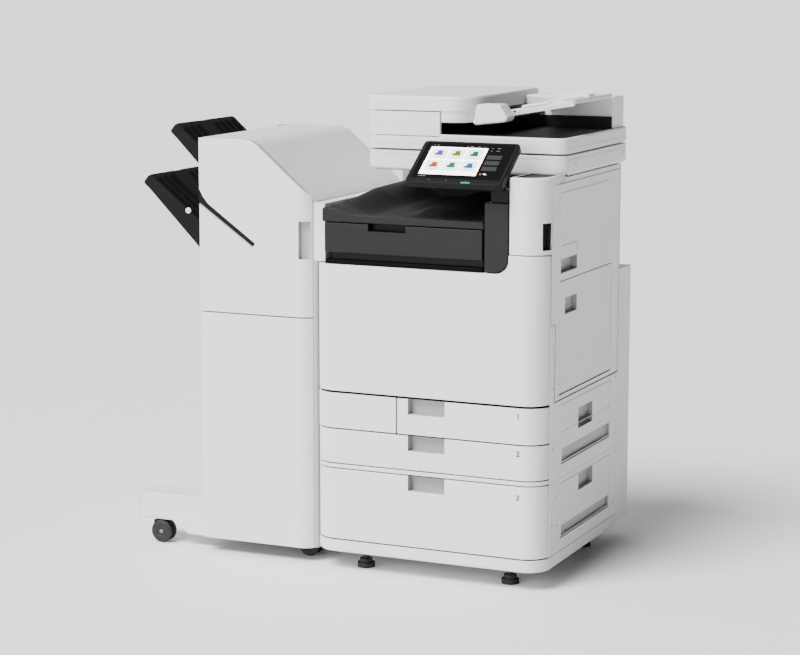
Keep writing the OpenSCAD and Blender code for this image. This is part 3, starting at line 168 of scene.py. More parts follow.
def mould(name, body, box, radii, heights, edges, finishes, cuts=(), returns=(0, 0), closed=True,
          shape=None, more=(), turns=8, skin=0, **ride):
    """A moulded wall round a rectangle with rounded corners, as a grid of heights by stops.
    Drawn in by i, a corner of radius r is an arc of radius max(r - i, 0) about a centre max(r, i)
    from both sides. A cut (side, a0, a1, z0, z1, depth, finish) draws its window in to depth.
    Sides are front, right, back and left, in millimetres, corner, in degrees, and all. radii go
    from the front left corner by the front right to the back left, or one number is for all. more
    adds stops (side, place) or ("z", height), and shape moves the finished grid."""
    x0, x1, y0, y1 = box
    radii = np.broadcast_to(radii, 4)
    soft = 0.7  # the width of a window's sloping edge
    stops = {s: sorted({v for c in cuts if c[0] == s for v in (c[1], c[1] + soft, c[2] - soft, c[2])}
                       | {v for k, v in more if k == s})
             for s in ("front", "right", "back", "left", "corner")}
    levels = [v for c in cuts for v in (c[3], c[3] + soft, c[4] - soft, c[4])]
    levels += [v for k, v in more if k == "z"]
    z, row_inset = rolled(*heights, edges, returns, levels)

    # the columns: which side or corner each belongs to, its stop or angle, and its place when not drawn in
    fl, fr, br, bl = radii
    cut_l = math.degrees(math.asin((y0 + fl - y1) / fl)) if not closed and y0 + fl > y1 else 0
    cut_r = math.degrees(math.asin((y0 + fr - y1) / fr)) if not closed and y0 + fr > y1 else 0

    def arc(corner, r, a0, a1):
        a = np.linspace(a0, a1, turns + 1 if r > 5 else 4)
        if corner == 1:
            a = np.array(sorted(set(a) | {v for v in stops["corner"] if a0 < v < a1}))
        return [(corner, v) for v in a]

    columns = arc(0, fl, 180 + cut_l, 270) + [(4, v) for v in stops["front"]] + arc(1, fr, 270, 360 - cut_r)
    if closed:
        columns += [(5, v) for v in stops["right"]] + arc(2, br, 0, 90)
        columns += [(6, v) for v in stops["back"][::-1]] + arc(3, bl, 90, 180)
        columns += [(7, v) for v in stops["left"][::-1]]
    else:
        columns = ([(7, y1)] if not cut_l else []) + columns
        columns += [(5, v) for v in stops["right"] if v < y1] + ([(5, y1)] if not cut_r else [])
    kind = np.array([c[0] for c in columns])
    value = np.array([c[1] for c in columns], float)

    def points(inset):
        """The columns' places when they are drawn in by inset, which is rows by columns."""
        r = np.array([*radii, 0, 0, 0, 0])[kind]
        side_x = np.array([x0, x1, x1, x0, 0, x1, 0, x0])[kind]
        side_y = np.array([y0, y0, y1, y1, y0, 0, y1, 0])[kind]
        in_x = np.array([1, -1, -1, 1, 0, -1, 0, 1])[kind]
        in_y = np.array([1, 1, -1, -1, 1, 0, -1, 0])[kind]
        a = np.radians(value)
        deep, left = np.maximum(r, inset), np.maximum(r - inset, 0)
        x = side_x + in_x * deep + left * np.cos(a)
        y = side_y + in_y * deep + left * np.sin(a)
        along_x = np.clip(value, x0 + np.maximum(fl, inset), x1 - np.maximum(fr, inset))
        far = y1 - np.maximum(min(br, bl), inset) if closed else y1
        along_y = np.clip(value, y0 + np.maximum(0, inset), far)
        x = np.where(kind >= 4, np.where(in_x == 0, along_x, side_x + in_x * inset), x)
        y = np.where(kind >= 4, np.where(in_y == 0, along_y, side_y + in_y * inset), y)
        return x, np.minimum(y, y1)

    inset = np.repeat(row_inset[:, None], len(kind), 1)
    mark = np.zeros(inset.shape, int)
    groups = {"front": (4,), "right": (5,), "back": (6,), "left": (7,), "corner": (1,), "all": range(8)}
    for side, a0, a1, low, high, depth, finish in cuts:
        here = np.isin(kind, groups[side])
        if side != "all":
            here &= (value > a0 + soft / 2) & (value < a1 - soft / 2)
        rows = (z > low + soft / 2) & (z < high - soft / 2)
        window = rows[:, None] & here[None, :]
        inset = np.where(window, np.maximum(inset, depth), inset)
        mark = np.where(window, finish, mark)
    x, y = points(inset)
    grid = np.stack([x, y, np.repeat(z[:, None], len(kind), 1)], -1)
    if shape is not None:
        grid = shape(grid)
    rows, columns = grid.shape[:2]
    faces = quads(rows, columns, closed)
    which = mark.reshape(-1)[faces].max(1).tolist()
    faces = faces.tolist()
    if closed and not skin:
        faces += [list(range(columns))[::-1]]
    if closed:
        faces += [list(range((rows - 1) * columns, rows * columns))]
    which += [0] * (len(faces) - len(which))
    made = piece(name, body, grid, faces, finishes, which, **ride)
    if skin:
        shell = made.modifiers.new("skin", "SOLIDIFY")
        shell.thickness = skin / 1000
        shell.offset = -1
    return made


x0, x1, y0, y1, z0, z1 = extent("base_cover")
unit_w, unit_d = x1, y1
corner_r = 60
mould("base_moulding", "main_unit", (x0, x1, y0, y1), (corner_r, corner_r, 4, 4), (z0, z1), (7, 1.2),
      [white_abs], stands_for=["base_cover"])

# ---- Cassette fronts
# Three drawer fronts of the same white ABS. Each wraps round the machine's front corners and
# has a finger recess let into its top edge. The digits are pad-printed in grey.

# The grip cups and other recesses are painted a light grey, a step darker than the fronts around them:
# painted shade for the shadow inside each recess.
recess_shade_grey = finish_of("painted_recess_shade", "#A6A8AA", "#9FA1A3", 0.48, 1.6, 0.03)
printed_grey = finish_of("pad_printing_ink", "#26282A", "#2B2D2F", 0.5, 1.0, 0.005)
grip_x, grip_w, grip_h, grip_d = 265, 98, 38, 22
digit_x, wrap_d = 0.551, 50
for number, left_r in ((1, 1.5), (2, corner_r), (3, corner_r)):
    node = f"cassette_{number}_front"
    x0, x1, y0, y1, z0, z1 = extent(node)
    # the cup's window is painted light grey: painted shade inside the finger recess
    cup = ("front", grip_x, grip_x + grip_w, z1 - grip_h, z1 + 9, grip_d, 1)
    mould(f"drawer_{number}_front", f"cassette_{number}", (x0, x1, y0, y1), (left_r, corner_r, 4, 4),
          (z0, z1), (2.2, 2.2), [white_abs, recess_shade_grey], cuts=[cup], returns=(0, wrap_d - 1), closed=False,
          turns=12, skin=2.5, stands_for=[node])
    curve = bpy.data.curves.new(f"digit_curve_{number}", "FONT")
    curve.body = str(number)
    curve.size = 0.019
    curve.extrude = 0.00012
    curve.offset = 0.0005
    letter = put(f"digit_{number}", curve)
    bpy.context.view_layer.update()
    mesh = bpy.data.meshes.new_from_object(letter)
    bpy.data.objects.remove(letter)
    flat = np.array([v.co for v in mesh.vertices])
    height = (z1 - (26 if number < 3 else 34)) / 1000
    upright = np.stack([flat[:, 0] + digit_x, -0.0001 - flat[:, 2], flat[:, 1] + height], -1)
    mesh.vertices.foreach_set("co", (upright + np.array(unit_corner)).ravel())
    mesh.materials.clear()
    mesh.materials.append(printed_grey)
    digit = put(f"digit_{number}", mesh)
    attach(digit, f"cassette_{number}")

# ---- Strips between the fronts
# A narrow moulding that closes the joint between pedestal and main unit, and the fixed cover
# beside the top cassette. Both are clipped to the frame.

x0, x1, y0, y1, z0, z1 = extent("front_strips")
drawer_1, drawer_2, drawer_3 = (extent(f"cassette_{n}_front") for n in (1, 2, 3))
gap = 2.5
mould("joint_strip", "main_unit", (0, unit_w, 1, wrap_d), (corner_r, corner_r, 4, 4),
      (drawer_3[5] + gap, drawer_2[4] - gap), (1.5, 1.5), [white_abs], returns=(wrap_d - 1, wrap_d - 1),
      closed=False, turns=12, skin=2, stands_for=["front_strips"])
mould("side_cover_of_drawer_1", "main_unit", (0, drawer_1[0] - 3, 0, wrap_d), (corner_r, 1.5, 4, 4),
      (drawer_1[4], drawer_1[5]), (2.2, 2.2), [white_abs], returns=(wrap_d - 1, wrap_d - 1), closed=False,
      turns=12, skin=2.5, slot="front_strips")

# A black sheet set back in each gap is painted shade: it draws the gap as a thin even line of shadow.
gap_lines = [(extent("base_cover")[5], drawer_3[4]), (drawer_3[5], drawer_3[5] + gap),
             (drawer_2[4] - gap, drawer_2[4]), (drawer_2[5], drawer_1[4]), (drawer_1[5], drawer_1[5] + 2.6)]
gap_shade_black = finish_of("painted_gap_shade", "#0C0C0D", "#101011", 0.9, 2.0, 0.1, shine=0.05)
for n, (low, high) in enumerate(gap_lines):
    back = 2.5 if n < 4 else 5
    mould(f"gap_shade_{n}", "main_unit", (back, unit_w - back, back, 49), (corner_r - back, corner_r - back, 2, 2),
          (low + 0.4, high - 0.4), (0.1, 0.1), [gap_shade_black], turns=12, slot="front_strips")
mould("gap_shade_of_drawer_1", "main_unit", (drawer_1[0] - 2.6, drawer_1[0] - 0.4, 3, 40), 0.5,
      (drawer_1[4] + 0.5, drawer_1[5] - 0.5), (0.1, 0.1), [gap_shade_black], slot="front_strips")

# ---- Front door
# The tall white door in front of the print engine. It is hinged at its bottom edge, and its top
# edge steps up to the right of the dark pillar in a rounded notch.

x0, x1, y0, y1, z0, z1 = extent("front_door")
pillar = extent("pillar_cover")
ledge_z = pillar[4] - 3
notch_r, notch_x = 35, pillar[1] + 1.5


def notched(grid):
    """Lowers the top to the ledge left of the notch, whose corner is a quarter circle."""
    x, z = grid[..., 0], grid[..., 2]
    run = np.clip((x - (notch_x - notch_r)) / notch_r, 0, 1)
    top = ledge_z + notch_r * (1 - np.sqrt(1 - run ** 2))
    top = np.where(x > pillar[1] + 1.6, z1, top)
    grid[..., 2] = z0 + (z - z0) * (top - z0) / (z1 - z0)
    return grid


mould("front_door_cover", "front_door", (x0, x1, y0, y1), (corner_r, corner_r, 4, 4), (z0, z1), (2, 2),
      [white_abs], returns=(0, 33), closed=False, turns=12, shape=notched, skin=2.5,
      stands_for=["front_door"],
      more=[("front", notch_x - notch_r * (1 - math.sin(math.radians(a)))) for a in range(0, 91, 9)]
      + [("front", pillar[1] + 1.7)])

# ---- Upper front cover
# The white column at the right, with a dark pull recess at its corner. Its head runs back to
# the scanner over the side door.

x0, x1, y0, y1, z0, z1 = extent("upper_front_cover")
# Both dark plastics are moulded with the same coarse grain, and show almost no highlight.
dark_abs = finish_of("dark_grey_moulded_abs", "#1B1B1C", "#19191A", 0.5, 1.6, 0.03, shine=0.2)
black_abs = finish_of("black_moulded_abs", "#090909", "#070708", 0.5, 1.6, 0.03, shine=0.15)


def stepped_up(grid):
    """Behind the wrapped corner the wall starts only above the side door."""
    behind = grid[..., 1] > wrap_d + 0.3
    grid[..., 2] = np.where(behind, np.maximum(grid[..., 2], z1 - head_h), grid[..., 2])
    return grid


head_h = 20
mould("upper_front_column", "main_unit", (x0, x1, y0, y1), (8, corner_r, 4, 4), (z0, z1), (2, 5),
      [white_abs, dark_abs], cuts=[("corner", 320, 350.6, z0 + 11, z0 + 76, 14, 1)], returns=(0, 8),
      closed=False, turns=20, more=[("right", 60.5), ("z", z1 - head_h)], shape=stepped_up, skin=2.5,
      stands_for=["upper_front_cover"])
mould("column_deck", "main_unit", (x0 + 3, x1 - 3, 9, y1 + 60), (5, 45, 1, 1), (z1 - 8, z1 - 4), (1, 1),
      [black_abs], slot="upper_front_cover")

# ---- Pillar
# The dark grey pillar that carries the control panel. It is one ABS moulding with a large rounded
# lower corner, and a black moulded head over it.


def filleted(corners):
    """An outline with each corner (x, z, r) turned into an arc of radius r: the arc starts and ends
    r / tan(half the corner's angle) along the two sides. Corners go counter-clockwise where faces
    are to point outwards."""
    out = []
    p = np.array([c[:2] for c in corners], float)
    for i, r in enumerate(c[2] for c in corners):
        back, on = p[i - 1] - p[i], p[(i + 1) % len(p)] - p[i]
        back, on = back / np.linalg.norm(back), on / np.linalg.norm(on)
        half = math.acos(np.clip(back @ on, -1, 1)) / 2
        if r < 0.05 or half > 1.55:
            out.append(p[i])
            continue
        centre = p[i] + (back + on) / np.linalg.norm(back + on) * r / math.sin(half)
        a = centre + (p[i] - centre) / np.linalg.norm(p[i] - centre) * r
        spread = np.linspace(-1, 1, 7) * (math.pi / 2 - half)
        turn = 1 if back[0] * on[1] - back[1] * on[0] < 0 else -1
        c, s = np.cos(spread * turn), np.sin(spread * turn)
        d = a - centre
        out += list(centre + np.stack([d[0] * c - d[1] * s, d[0] * s + d[1] * c], -1))
    return np.array(out)


def drawn_in(outline, by):
    """The outline moved in by a distance, along the mitre of its neighbouring sides' normals."""
    ahead = np.roll(outline, -1, 0) - outline
    ahead /= np.maximum(np.linalg.norm(ahead, axis=1, keepdims=True), 1e-9)
    normal = np.stack([-ahead[:, 1], ahead[:, 0]], -1)
    both = normal + np.roll(normal, 1, 0)
    both /= np.maximum((both * normal).sum(1, keepdims=True), 0.5)
    return outline + both * by


def carry(name, body, corners, y0, y1, edge, finishes, shape=None, stops=(), **ride):
    """A filleted outline in X and Z carried from the back y1 to the front y0, with both ends
    rounded by drawing the outline in along a quarter circle. A fillet stays wider than that edge."""
    outline = filleted([(x, z, r and max(r, edge + 0.1)) for x, z, r in corners])
    a = np.radians(np.linspace(0, 90, 4))
    ends_y = edge * (1 - np.cos(a))
    ends_i = edge * (1 - np.sin(a))
    ys = np.concatenate([y1 - ends_y, sorted(stops, reverse=True), (y0 + ends_y)[::-1]])
    ins = np.concatenate([ends_i, np.zeros(len(stops)), ends_i[::-1]])
    rings = np.stack([drawn_in(outline, i) for i in ins])
    grid = np.stack([rings[..., 0], np.repeat(ys[:, None], len(outline), 1), rings[..., 1]], -1)
    if shape is not None:
        grid = shape(grid)
    rows, columns = grid.shape[:2]
    faces = quads(rows, columns, True).tolist()
    faces += [list(range(columns))[::-1], list(range((rows - 1) * columns, rows * columns))]
    return piece(name, body, grid, faces, finishes, **ride)


x0, x1, y0, y1, z0, z1 = pillar
carry("panel_pillar", "main_unit", [(x0, z0, 2), (x1, z0, notch_r), (x1, z1, 3), (x0, z1, 3)],
      y0, y1, 2, [dark_abs], stands_for=["pillar_cover"])


def block(x_range, z_range, r_low, r_high):
    """The four corners of a rectangle, counter-clockwise from the lower left."""
    return [(x_range[0], z_range[0], r_low), (x_range[1], z_range[0], r_low),
            (x_range[1], z_range[1], r_high), (x_range[0], z_range[1], r_high)]


carry("pillar_head", "main_unit", block((x0 + 16, x1 - 1), (z1 + 0.5, z1 + 32), 2, 6),
      y0 + 5, y1 - 6, 2, [black_abs], slot="pillar_cover")

# ---- Pass unit and delivery tray
# The dark unit over the door pulls out to clear jams. The printed sheets land on the black tray
# above it, which rises to the left and has a stop block in the middle and ribs at the right.

x0, x1, y0, y1, z0, z1 = extent("pass_unit")
mould("pass_unit_front", "pass_unit", (x0, x1, y0, 30), (5, 3, 2, 2), (z0 + 17, z1), (3, 2.5),
      [dark_abs, black_abs], cuts=[("front", 157, 258, z1 - 17, z1 + 9, 22, 1)], stands_for=["pass_unit"])
mould("pass_unit_sill", "pass_unit", (x0 + 17, x1, 12, 33), (2, 2, 1, 1), (z0, z0 + 20), (2, 1),
      [black_abs], slot="pass_unit")
# a black sheet in the gap above the door's ledge is painted shade
mould("ledge_gap_shade", "main_unit", (x0 + 1, x1 - 1, 4, 40), (2, 2, 1, 1), (ledge_z + 1.4, z0 - 0.6),
      (0.3, 0.3), [gap_shade_black], slot="front_strips")


def open_tray(name, body, box, heights, wall, finishes, **ride):
    """A tray that is open above: up the outside, over the rim, and down the inside to its floor."""
    tray_x0, tray_x1, tray_y0, tray_y1 = box
    low, high = heights
    levels = np.array([(0.5, low), (0, low + 0.5), (0, high), (wall, high), (wall, low + wall)])
    i, z = levels[:, :1], levels[:, 1:]
    x = np.concatenate([tray_x0 + i, tray_x1 - i, tray_x1 - i, tray_x0 + i], 1)
    y = np.concatenate([tray_y0 + i, tray_y0 + i, tray_y1 - i, tray_y1 - i], 1)
    grid = np.stack([x, y, np.repeat(z, 4, 1)], -1)
    faces = quads(len(levels), 4, True).tolist() + [[3, 2, 1, 0], [16, 17, 18, 19]]
    return piece(name, body, grid, faces, finishes, **ride)


open_tray("pass_unit_body", "pass_unit", (x0 + 17, x1, 31, y1), (z0, z1 - 2), 3, [dark_abs], slot="pass_unit")

tray = extent("delivery_tray")
tray_x1, tray_front_z = 463, z1 + 2


def tray_height(x, y):
    """Height of the sheet surface: a lip in front, a shallow dip behind it, a round rise at the
    left, and a stop block whose sides slope."""
    back = np.clip((y - 18) / 90, 0, 1)
    z = tray_front_z + 16 - 6 * back * back * (3 - 2 * back) + 7 * np.clip((y - 150) / 350, 0, 1)
    rise = np.clip((tray[0] + 100 - x) / 92, 0, 1)
    z += (16 + 26 * np.clip(y / 300, 0, 1)) * rise * rise * (3 - 2 * rise)
    block = np.clip(1.4 - np.abs((x - 272) / 62), 0, 1) * np.clip((y - 70) / 110, 0, 1)
    z += 15 * block * block * (3 - 2 * block)
    right = np.clip((x - 372) / 60, 0, 1) * np.clip((y - 40) / 60, 0, 1)
    return z + 9 * right * right * (3 - 2 * right)


us = np.linspace(tray[0], tray_x1, 96)
vs = np.concatenate([[2, 3.5, 6], np.linspace(10, tray[3], 90)])
gx, gy = np.meshgrid(us, vs)
gz = tray_height(gx, gy)
gz[0] -= 4
gz[1] -= 1.4
edge_roll = 3 * np.exp(-(gx - tray[0]) / 2.5) + 3 * np.exp(-(tray_x1 - gx) / 1.5)
gz -= edge_roll
ribbed = (gx > 385) & (gy > 60) & (gy < 330)
gz += np.where(ribbed & (np.arange(len(us))[None, :] % 3 == 0), 1.8, 0)
low = np.full_like(gx[:1], tray_front_z)
front = np.stack([gx[:1], gy[:1], low + 0.4], -1)
grid = np.concatenate([front, np.stack([gx, gy, gz], -1), np.stack([gx[-1:], gy[-1:], low], -1)])
left, right = (grid[:, k] * [1, 1, 0] + [0, 0, tray_front_z + 0.4] for k in (slice(1), slice(-1, None)))
grid = np.concatenate([left, grid, right], 1)
faces = quads(*grid.shape[:2]).tolist()
rim = np.arange(grid.shape[0] * grid.shape[1]).reshape(grid.shape[:2])
around = list(rim[0]) + list(rim[1:, -1]) + list(rim[-1, -2::-1]) + list(rim[-2:0:-1, 0])
faces += [[int(v) for v in around[::-1]]]
piece("sheet_tray", "main_unit", grid, faces, [black_abs], stands_for=["delivery_tray"])
lip_top = [(x, float(tray_height(x, 14)) + 1.4, 0) for x in np.linspace(tray[0] + 3, 460, 40)]
carry("tray_lip", "main_unit",
      [(tray[0], tray_front_z + 1, 1), (tray_x1, tray_front_z + 1, 1), *lip_top[::-1],
       (tray[0], lip_top[0][1] - 3, 0)], 0.5, 14, 1.5, [dark_abs], slot="delivery_tray")
carry("tray_back_wall", "main_unit", block((tray[0], tray_x1), (tray_front_z + 1, tray[5] - 2), 1, 6),
      tray[3] - 12, tray[3], 1, [black_abs], slot="delivery_tray")

# ---- Scanner
# A closed white housing that floats over the delivery space, with a rounded lower edge and a
# groove all round. Two panes of glass are let into its top.

x0, x1, y0, y1, z0, z1 = extent("scanner_housing")
mould("scanner_body", "main_unit", (x0, x1, y0, y1), (30, 30, 24, 24), (z0, z1 - 0.4), (9, 1.5),
      [white_abs, printed_grey], stands_for=["scanner_housing"],
      cuts=[("all", 0, 0, z0 + 39, z0 + 41.4, 1.6, 0), ("right", 195.2, 197.2, z0 + 1, z0 + 49, 0.9, 0)])
# Float glass, polished: nearly black from above, with the sharp highlight of its coat.
clear_glass = finish_of("float_glass", "#20282A", "#1B2325", 0.06, 3.0, 0.0)
clear_glass.node_tree.nodes["Principled BSDF"].inputs["Coat Weight"].default_value = 1.0

# ---- Document feeder
# The feeder's base carries the feed unit at the left, a low black-lined space where originals
# land, and a housing at the back. White ABS throughout, with a white pad under it.

x0, x1, y0, y1, z0, z1 = extent("feeder_base")
lid = extent("feeder_cover")
feed_top, wall_top = z0 + 38, lid[4] - 2.5
block_x1, well_y1, rear_y0 = 290, 503, 505
mould("feeder_slab", "feeder", (x0, x1, y0, y1), (30, 30, 24, 24), (z0, feed_top), (2, 4), [white_abs],
      cuts=[("all", 0, 0, z0 + 12, z0 + 14, 1.2, 0)], stands_for=["feeder_base"])


def clear_of_hinge(grid):
    """Lowers the walls' top at the left, where the lid's edge swings down as it opens."""
    grid[..., 2] = np.where(grid[..., 0] < x0 + 14, np.minimum(grid[..., 2], lid[4] - 4.8), grid[..., 2])
    return grid


mould("feed_unit_walls", "feeder", (x0, block_x1, y0, y1), (30, 2, 2, 24), (feed_top - 6, wall_top),
      (0.2, 1), [white_abs, black_abs], shape=clear_of_hinge, slot="feeder_base",
      cuts=[("right", y0 + 10, well_y1, feed_top + 0.8, feed_top + 28, 20, 1)])
for name, box, radii, heights, edges, finish in (
        ("output_floor", (block_x1, x1 - 8, y0 + 9, well_y1), (18, 24, 2, 2),
         (feed_top - 1, feed_top + 1.2), (0.5, 0.8), black_abs),
        ("output_back_wall", (block_x1 - 1, x1 - 12, 499, 506), (1, 3, 1, 1),
         (feed_top, feed_top + 30), (0.5, 1), black_abs),
        ("feeder_back_housing", (block_x1 - 2, x1 - 8, rear_y0, y1), (2, 6, 24, 2),
         (feed_top - 1, wall_top), (0.5, 2), white_abs),
        ("feeder_back_hump", (lid[1] + 4, x1 - 8, rear_y0, y1), (3, 6, 24, 3),
         (lid[4] - 4, z1), (0.5, 5), white_abs),
        ("separating_plate", (block_x1 - 2, lid[1] + 56, y0 + 92, rear_y0), (2, 8, 1, 1),
         (feed_top + 33, feed_top + 40), (2, 2), black_abs),
        ("press_pad", (x0 + 48, x1 - 48, y0 + 48, y1 - 118), 5,
         (z0 - 3, z0 + 0.5), (1, 0.4), white_abs)):
    mould(name, "feeder", box, radii, heights, edges, [finish], slot="feeder_base")

# ---- Feeder cover
# The lid over the feed rollers. It is hinged at its left edge, its right front corner is large
# and round, and a skirt hangs down in front of the sheets' way out.

mould("feeder_lid", "feeder_cover", lid[:4], (30, corner_r, 2, 24), lid[4:], (0.8, 7), [white_abs], skin=2.2,
      cuts=[("front", 300, 330, lid[4] + 2, lid[4] + 2.1, 0, 0)], stands_for=["feeder_cover"], turns=12)
mould("feeder_lid_skirt", "feeder_cover", (block_x1 + 2, lid[1] - 2, lid[2] + 2, 240),
      (2, corner_r - 2, 20, 2), (lid[4] - 28, lid[4] + 1), (3, 0.4), [white_abs],
      slot="feeder_cover", turns=12)
for row in range(3):
    mould(f"lid_mark_{row}", "feeder_cover", (150 + 34 * row, 176 + 34 * row, 300, 309), 2,
          (lid[5] - 0.6, lid[5] - 0.02), (0.1, 0.1), [printed_grey], slot="feeder_cover")

# ---- Input tray and its guides
# Originals lie on this sloping white tray between two guides that slide together. The curved
# housing in front of its pivot belongs to the feeder.

pivot_x, pivot_z, slope = 446, feed_top + 52, math.radians(10)


def tilted(grid, axis, start, start_z, angle):
    """From a sloping part's own frame into the machine's. The axis, 0 for X or 1 for Y, climbs at the
    angle from its start, and Z stands off the face."""
    along, z = grid[..., axis].copy(), grid[..., 2].copy()
    grid[..., axis] = start + along * math.cos(angle) - z * math.sin(angle)
    grid[..., 2] = start_z + along * math.sin(angle) + z * math.cos(angle)
    return grid


def on_tray(grid):
    """From the tray's own frame, X along it from the pivot, into the machine's."""
    return tilted(grid, 0, pivot_x, pivot_z, slope)


length, face_z = 169, 9
tray_y0, tray_y1 = y0 + 79, 501
mould("originals_tray", "input_tray", (4, length, tray_y0, tray_y1), (3, 14, 14, 3), (-2, face_z), (2.5, 1.5),
      [white_abs], shape=on_tray, stands_for=["input_tray"])
mould("originals_tray_rim", "input_tray", (10, length - 2, tray_y0 + 1, tray_y0 + 7), 2, (-7, 0), (2, 0.5),
      [white_abs], shape=on_tray, slot="input_tray")
for lug_y in (tray_y0, tray_y1 - 12):
    mould(f"tray_lug_{int(lug_y)}", "input_tray", (-8, 16, lug_y, lug_y + 12), 2, (-8, face_z), (4, 4),
          [white_abs], shape=on_tray, slot="input_tray")
mould("tray_stopper", "input_tray", (length - 12, length - 3, tray_y0 + 118, tray_y0 + 162), 3, (8, 17),
      (0.5, 3), [white_abs], shape=on_tray, slot="input_tray")
for name, y, foot_w, plate_top in (("document_guide_front", tray_y0 + 24, -26, 15),
                                   ("document_guide_rear", tray_y1 - 27, 26, 29.6)):
    foot = sorted((y, y + foot_w))
    mould(name + "_plate", name, (22, 132, y, y + 3), 1.2, (9.3, plate_top), (0.5, 1.2), [white_abs],
          shape=on_tray, stands_for=[name])
    mould(name + "_foot", name, (38, 104, foot[0], foot[1] + 3), 4, (9.3, 12), (0.4, 1), [white_abs],
          shape=on_tray, slot=name)
carry("pivot_housing", "feeder",
      [(lid[1] - 6, feed_top + 23, 8), (pivot_x + 8, feed_top + 34, 10), (pivot_x + 14, pivot_z - 6, 6),
       (pivot_x - 8, pivot_z + 24, 8), (lid[1] + 6, pivot_z + 24, 10), (lid[1] + 2, pivot_z - 8, 6)],
      y0 + 22, y0 + 76, 5, [white_abs], slot="feeder_base")

# ---- Control panel
# A black tilting frame holds one sheet of black glass with the display behind it. The display is
# bright; key signs under the glass are small white marks, and a green lamp bar sits in the rim.

panel_slope = math.radians(35)
panel = extent("control_panel")
panel_x0, panel_x1 = panel[0], panel[1]
panel_l, panel_t = 155, 22
panel_y, panel_z = -45, extent("scanner_housing")[4] - 7


def on_panel(grid):
    """From the panel's own frame, Y up its slope, into the machine's."""
    return tilted(grid, 1, panel_y, panel_z, panel_slope)


def lamp(name, colour, strength):
    """A lit part of the display or a lamp lens: near-black, and its own light is the colour."""
    return shaded(name, {"Base Color": linear("#030303"), "Specular IOR Level": 0.1, "Roughness": 0.3,
                         "Emission Color": linear(colour), "Emission Strength": strength})[0]


# Black-backed cover glass, polished: a deep black with a narrow highlight.
panel_glass = finish_of("black_cover_glass", "#020203", "#030303", 0.12, 4.0, 0.0, shine=0.12)
mould("panel_frame", "control_panel", (panel_x0, panel_x1, 0, panel_l), 10, (-panel_t, 0), (7, 2.2),
      [black_abs], shape=on_panel, stands_for=["control_panel", "panel_glass"])
mould("panel_cover_glass", "control_panel", (panel_x0 + 10, panel_x1 - 10, 16, panel_l - 7), 4, (-1.5, 0.35),
      (0.3, 0.3), [panel_glass], shape=on_panel, slot="panel_glass")
for side in (0, 37):
    mould(f"panel_ear_{side}", "control_panel", (467 + side, 476 + side, 52, 68), 2, (-37, -panel_t + 1),
          (2, 0.2), [dark_abs], shape=on_panel, slot="control_panel")

screen_x0, screen_y0 = panel_x0 + 26, 30
screen_w, screen_h = 148, 102
lit_white = lamp("display_white", "#FFFFFF", 7.0)
lit_tile = lamp("display_tile", "#F4F5F7", 4.2)
lit_grey = lamp("display_grey", "#9DA1A6", 1.4)
lit_dim = lamp("display_dim_grey", "#565A60", 0.9)


def mark(name, x, y, w, h, finish, up=0.55, r=0.8):
    """A flat lit shape just above the glass, in the panel's own frame."""
    mould(name, "control_panel", (x, x + w, y, y + h), r, (up - 0.1, up), (0.02, 0.02), [finish],
          shape=on_panel, slot="panel_glass")


mark("display", screen_x0, screen_y0, screen_w, screen_h, lit_white, 0.45)
signs = [["#4B46FF", "#6E8C1E", "#1F7A4D"], ["#E5492B", "#1F8A55", "#1E6FB8"]]
for row in range(2):
    for column in range(3):
        x = screen_x0 + 7 + column * 46
        y = screen_y0 + 58 - row * 44
        mark(f"tile_{row}_{column}", x, y, 42, 38, lit_tile)
        sign = lamp(f"display_sign_{row}_{column}", signs[row][column], 1.6)
        mark(f"sign_{row}_{column}", x + 10, y + 13, 21, 9, sign, 0.65, 2)
        mark(f"sign_top_{row}_{column}", x + 15, y + 20, 14, 11, sign, 0.75, 2)
        mark(f"caption_{row}_{column}", x + 14, y + 6, 14, 1.6, lit_grey, 0.65, 0.5)
mark("display_foot_line", screen_x0 + 58, screen_y0 + 6, 34, 1.4, lit_grey, 0.65, 0.5)
for n in range(3):
    mark(f"side_tile_{n}", screen_x0 + screen_w + 7, screen_y0 + 62 - n * 21, 38, 15, lit_dim)
for n, (x, y, w) in enumerate([(4, 107, 6), (12, 107, 9), (92, 106, 4), (100, 106, 12), (120, 106, 8),
                               (136, 106, 5), (158, 92, 5), (172, 92, 12), (158, 102, 5), (172, 102, 12),
                               (2, -8, 28), (172, 4, 7)]):
    mark(f"status_{n}", screen_x0 + x, screen_y0 + y, w * 0.7, 1.7, lit_grey, 0.55, 0.5)
stop_orange = lamp("display_orange", "#FF6A3A", 2.4)
mark("stop_sign", screen_x0 + screen_w + 8, screen_y0 + 4, 5, 5, stop_orange, 0.55, 2.4)
mark("stop_caption", screen_x0 + screen_w + 18, screen_y0 + 5.5, 6, 3, lit_white, 0.55, 0.6)
for n, share in enumerate((0.24, 0.42, 0.62)):
    mark(f"lamp_dot_{n}", panel_x0 + 250 * share, 9, 2.2, 2.2, lit_grey, 0.12, 1)
mark("lamp_bar", panel_x0 + 145, 1.8, 24, 4.6, lamp("green_lamp", "#1FCF8C", 1.6), 0.15, 2)

# ---- Side door and side tray
# The right side is one large door with a raised plate and a grip pocket. The side tray folds out
# of it, and two small doors below it give access to the paper path.


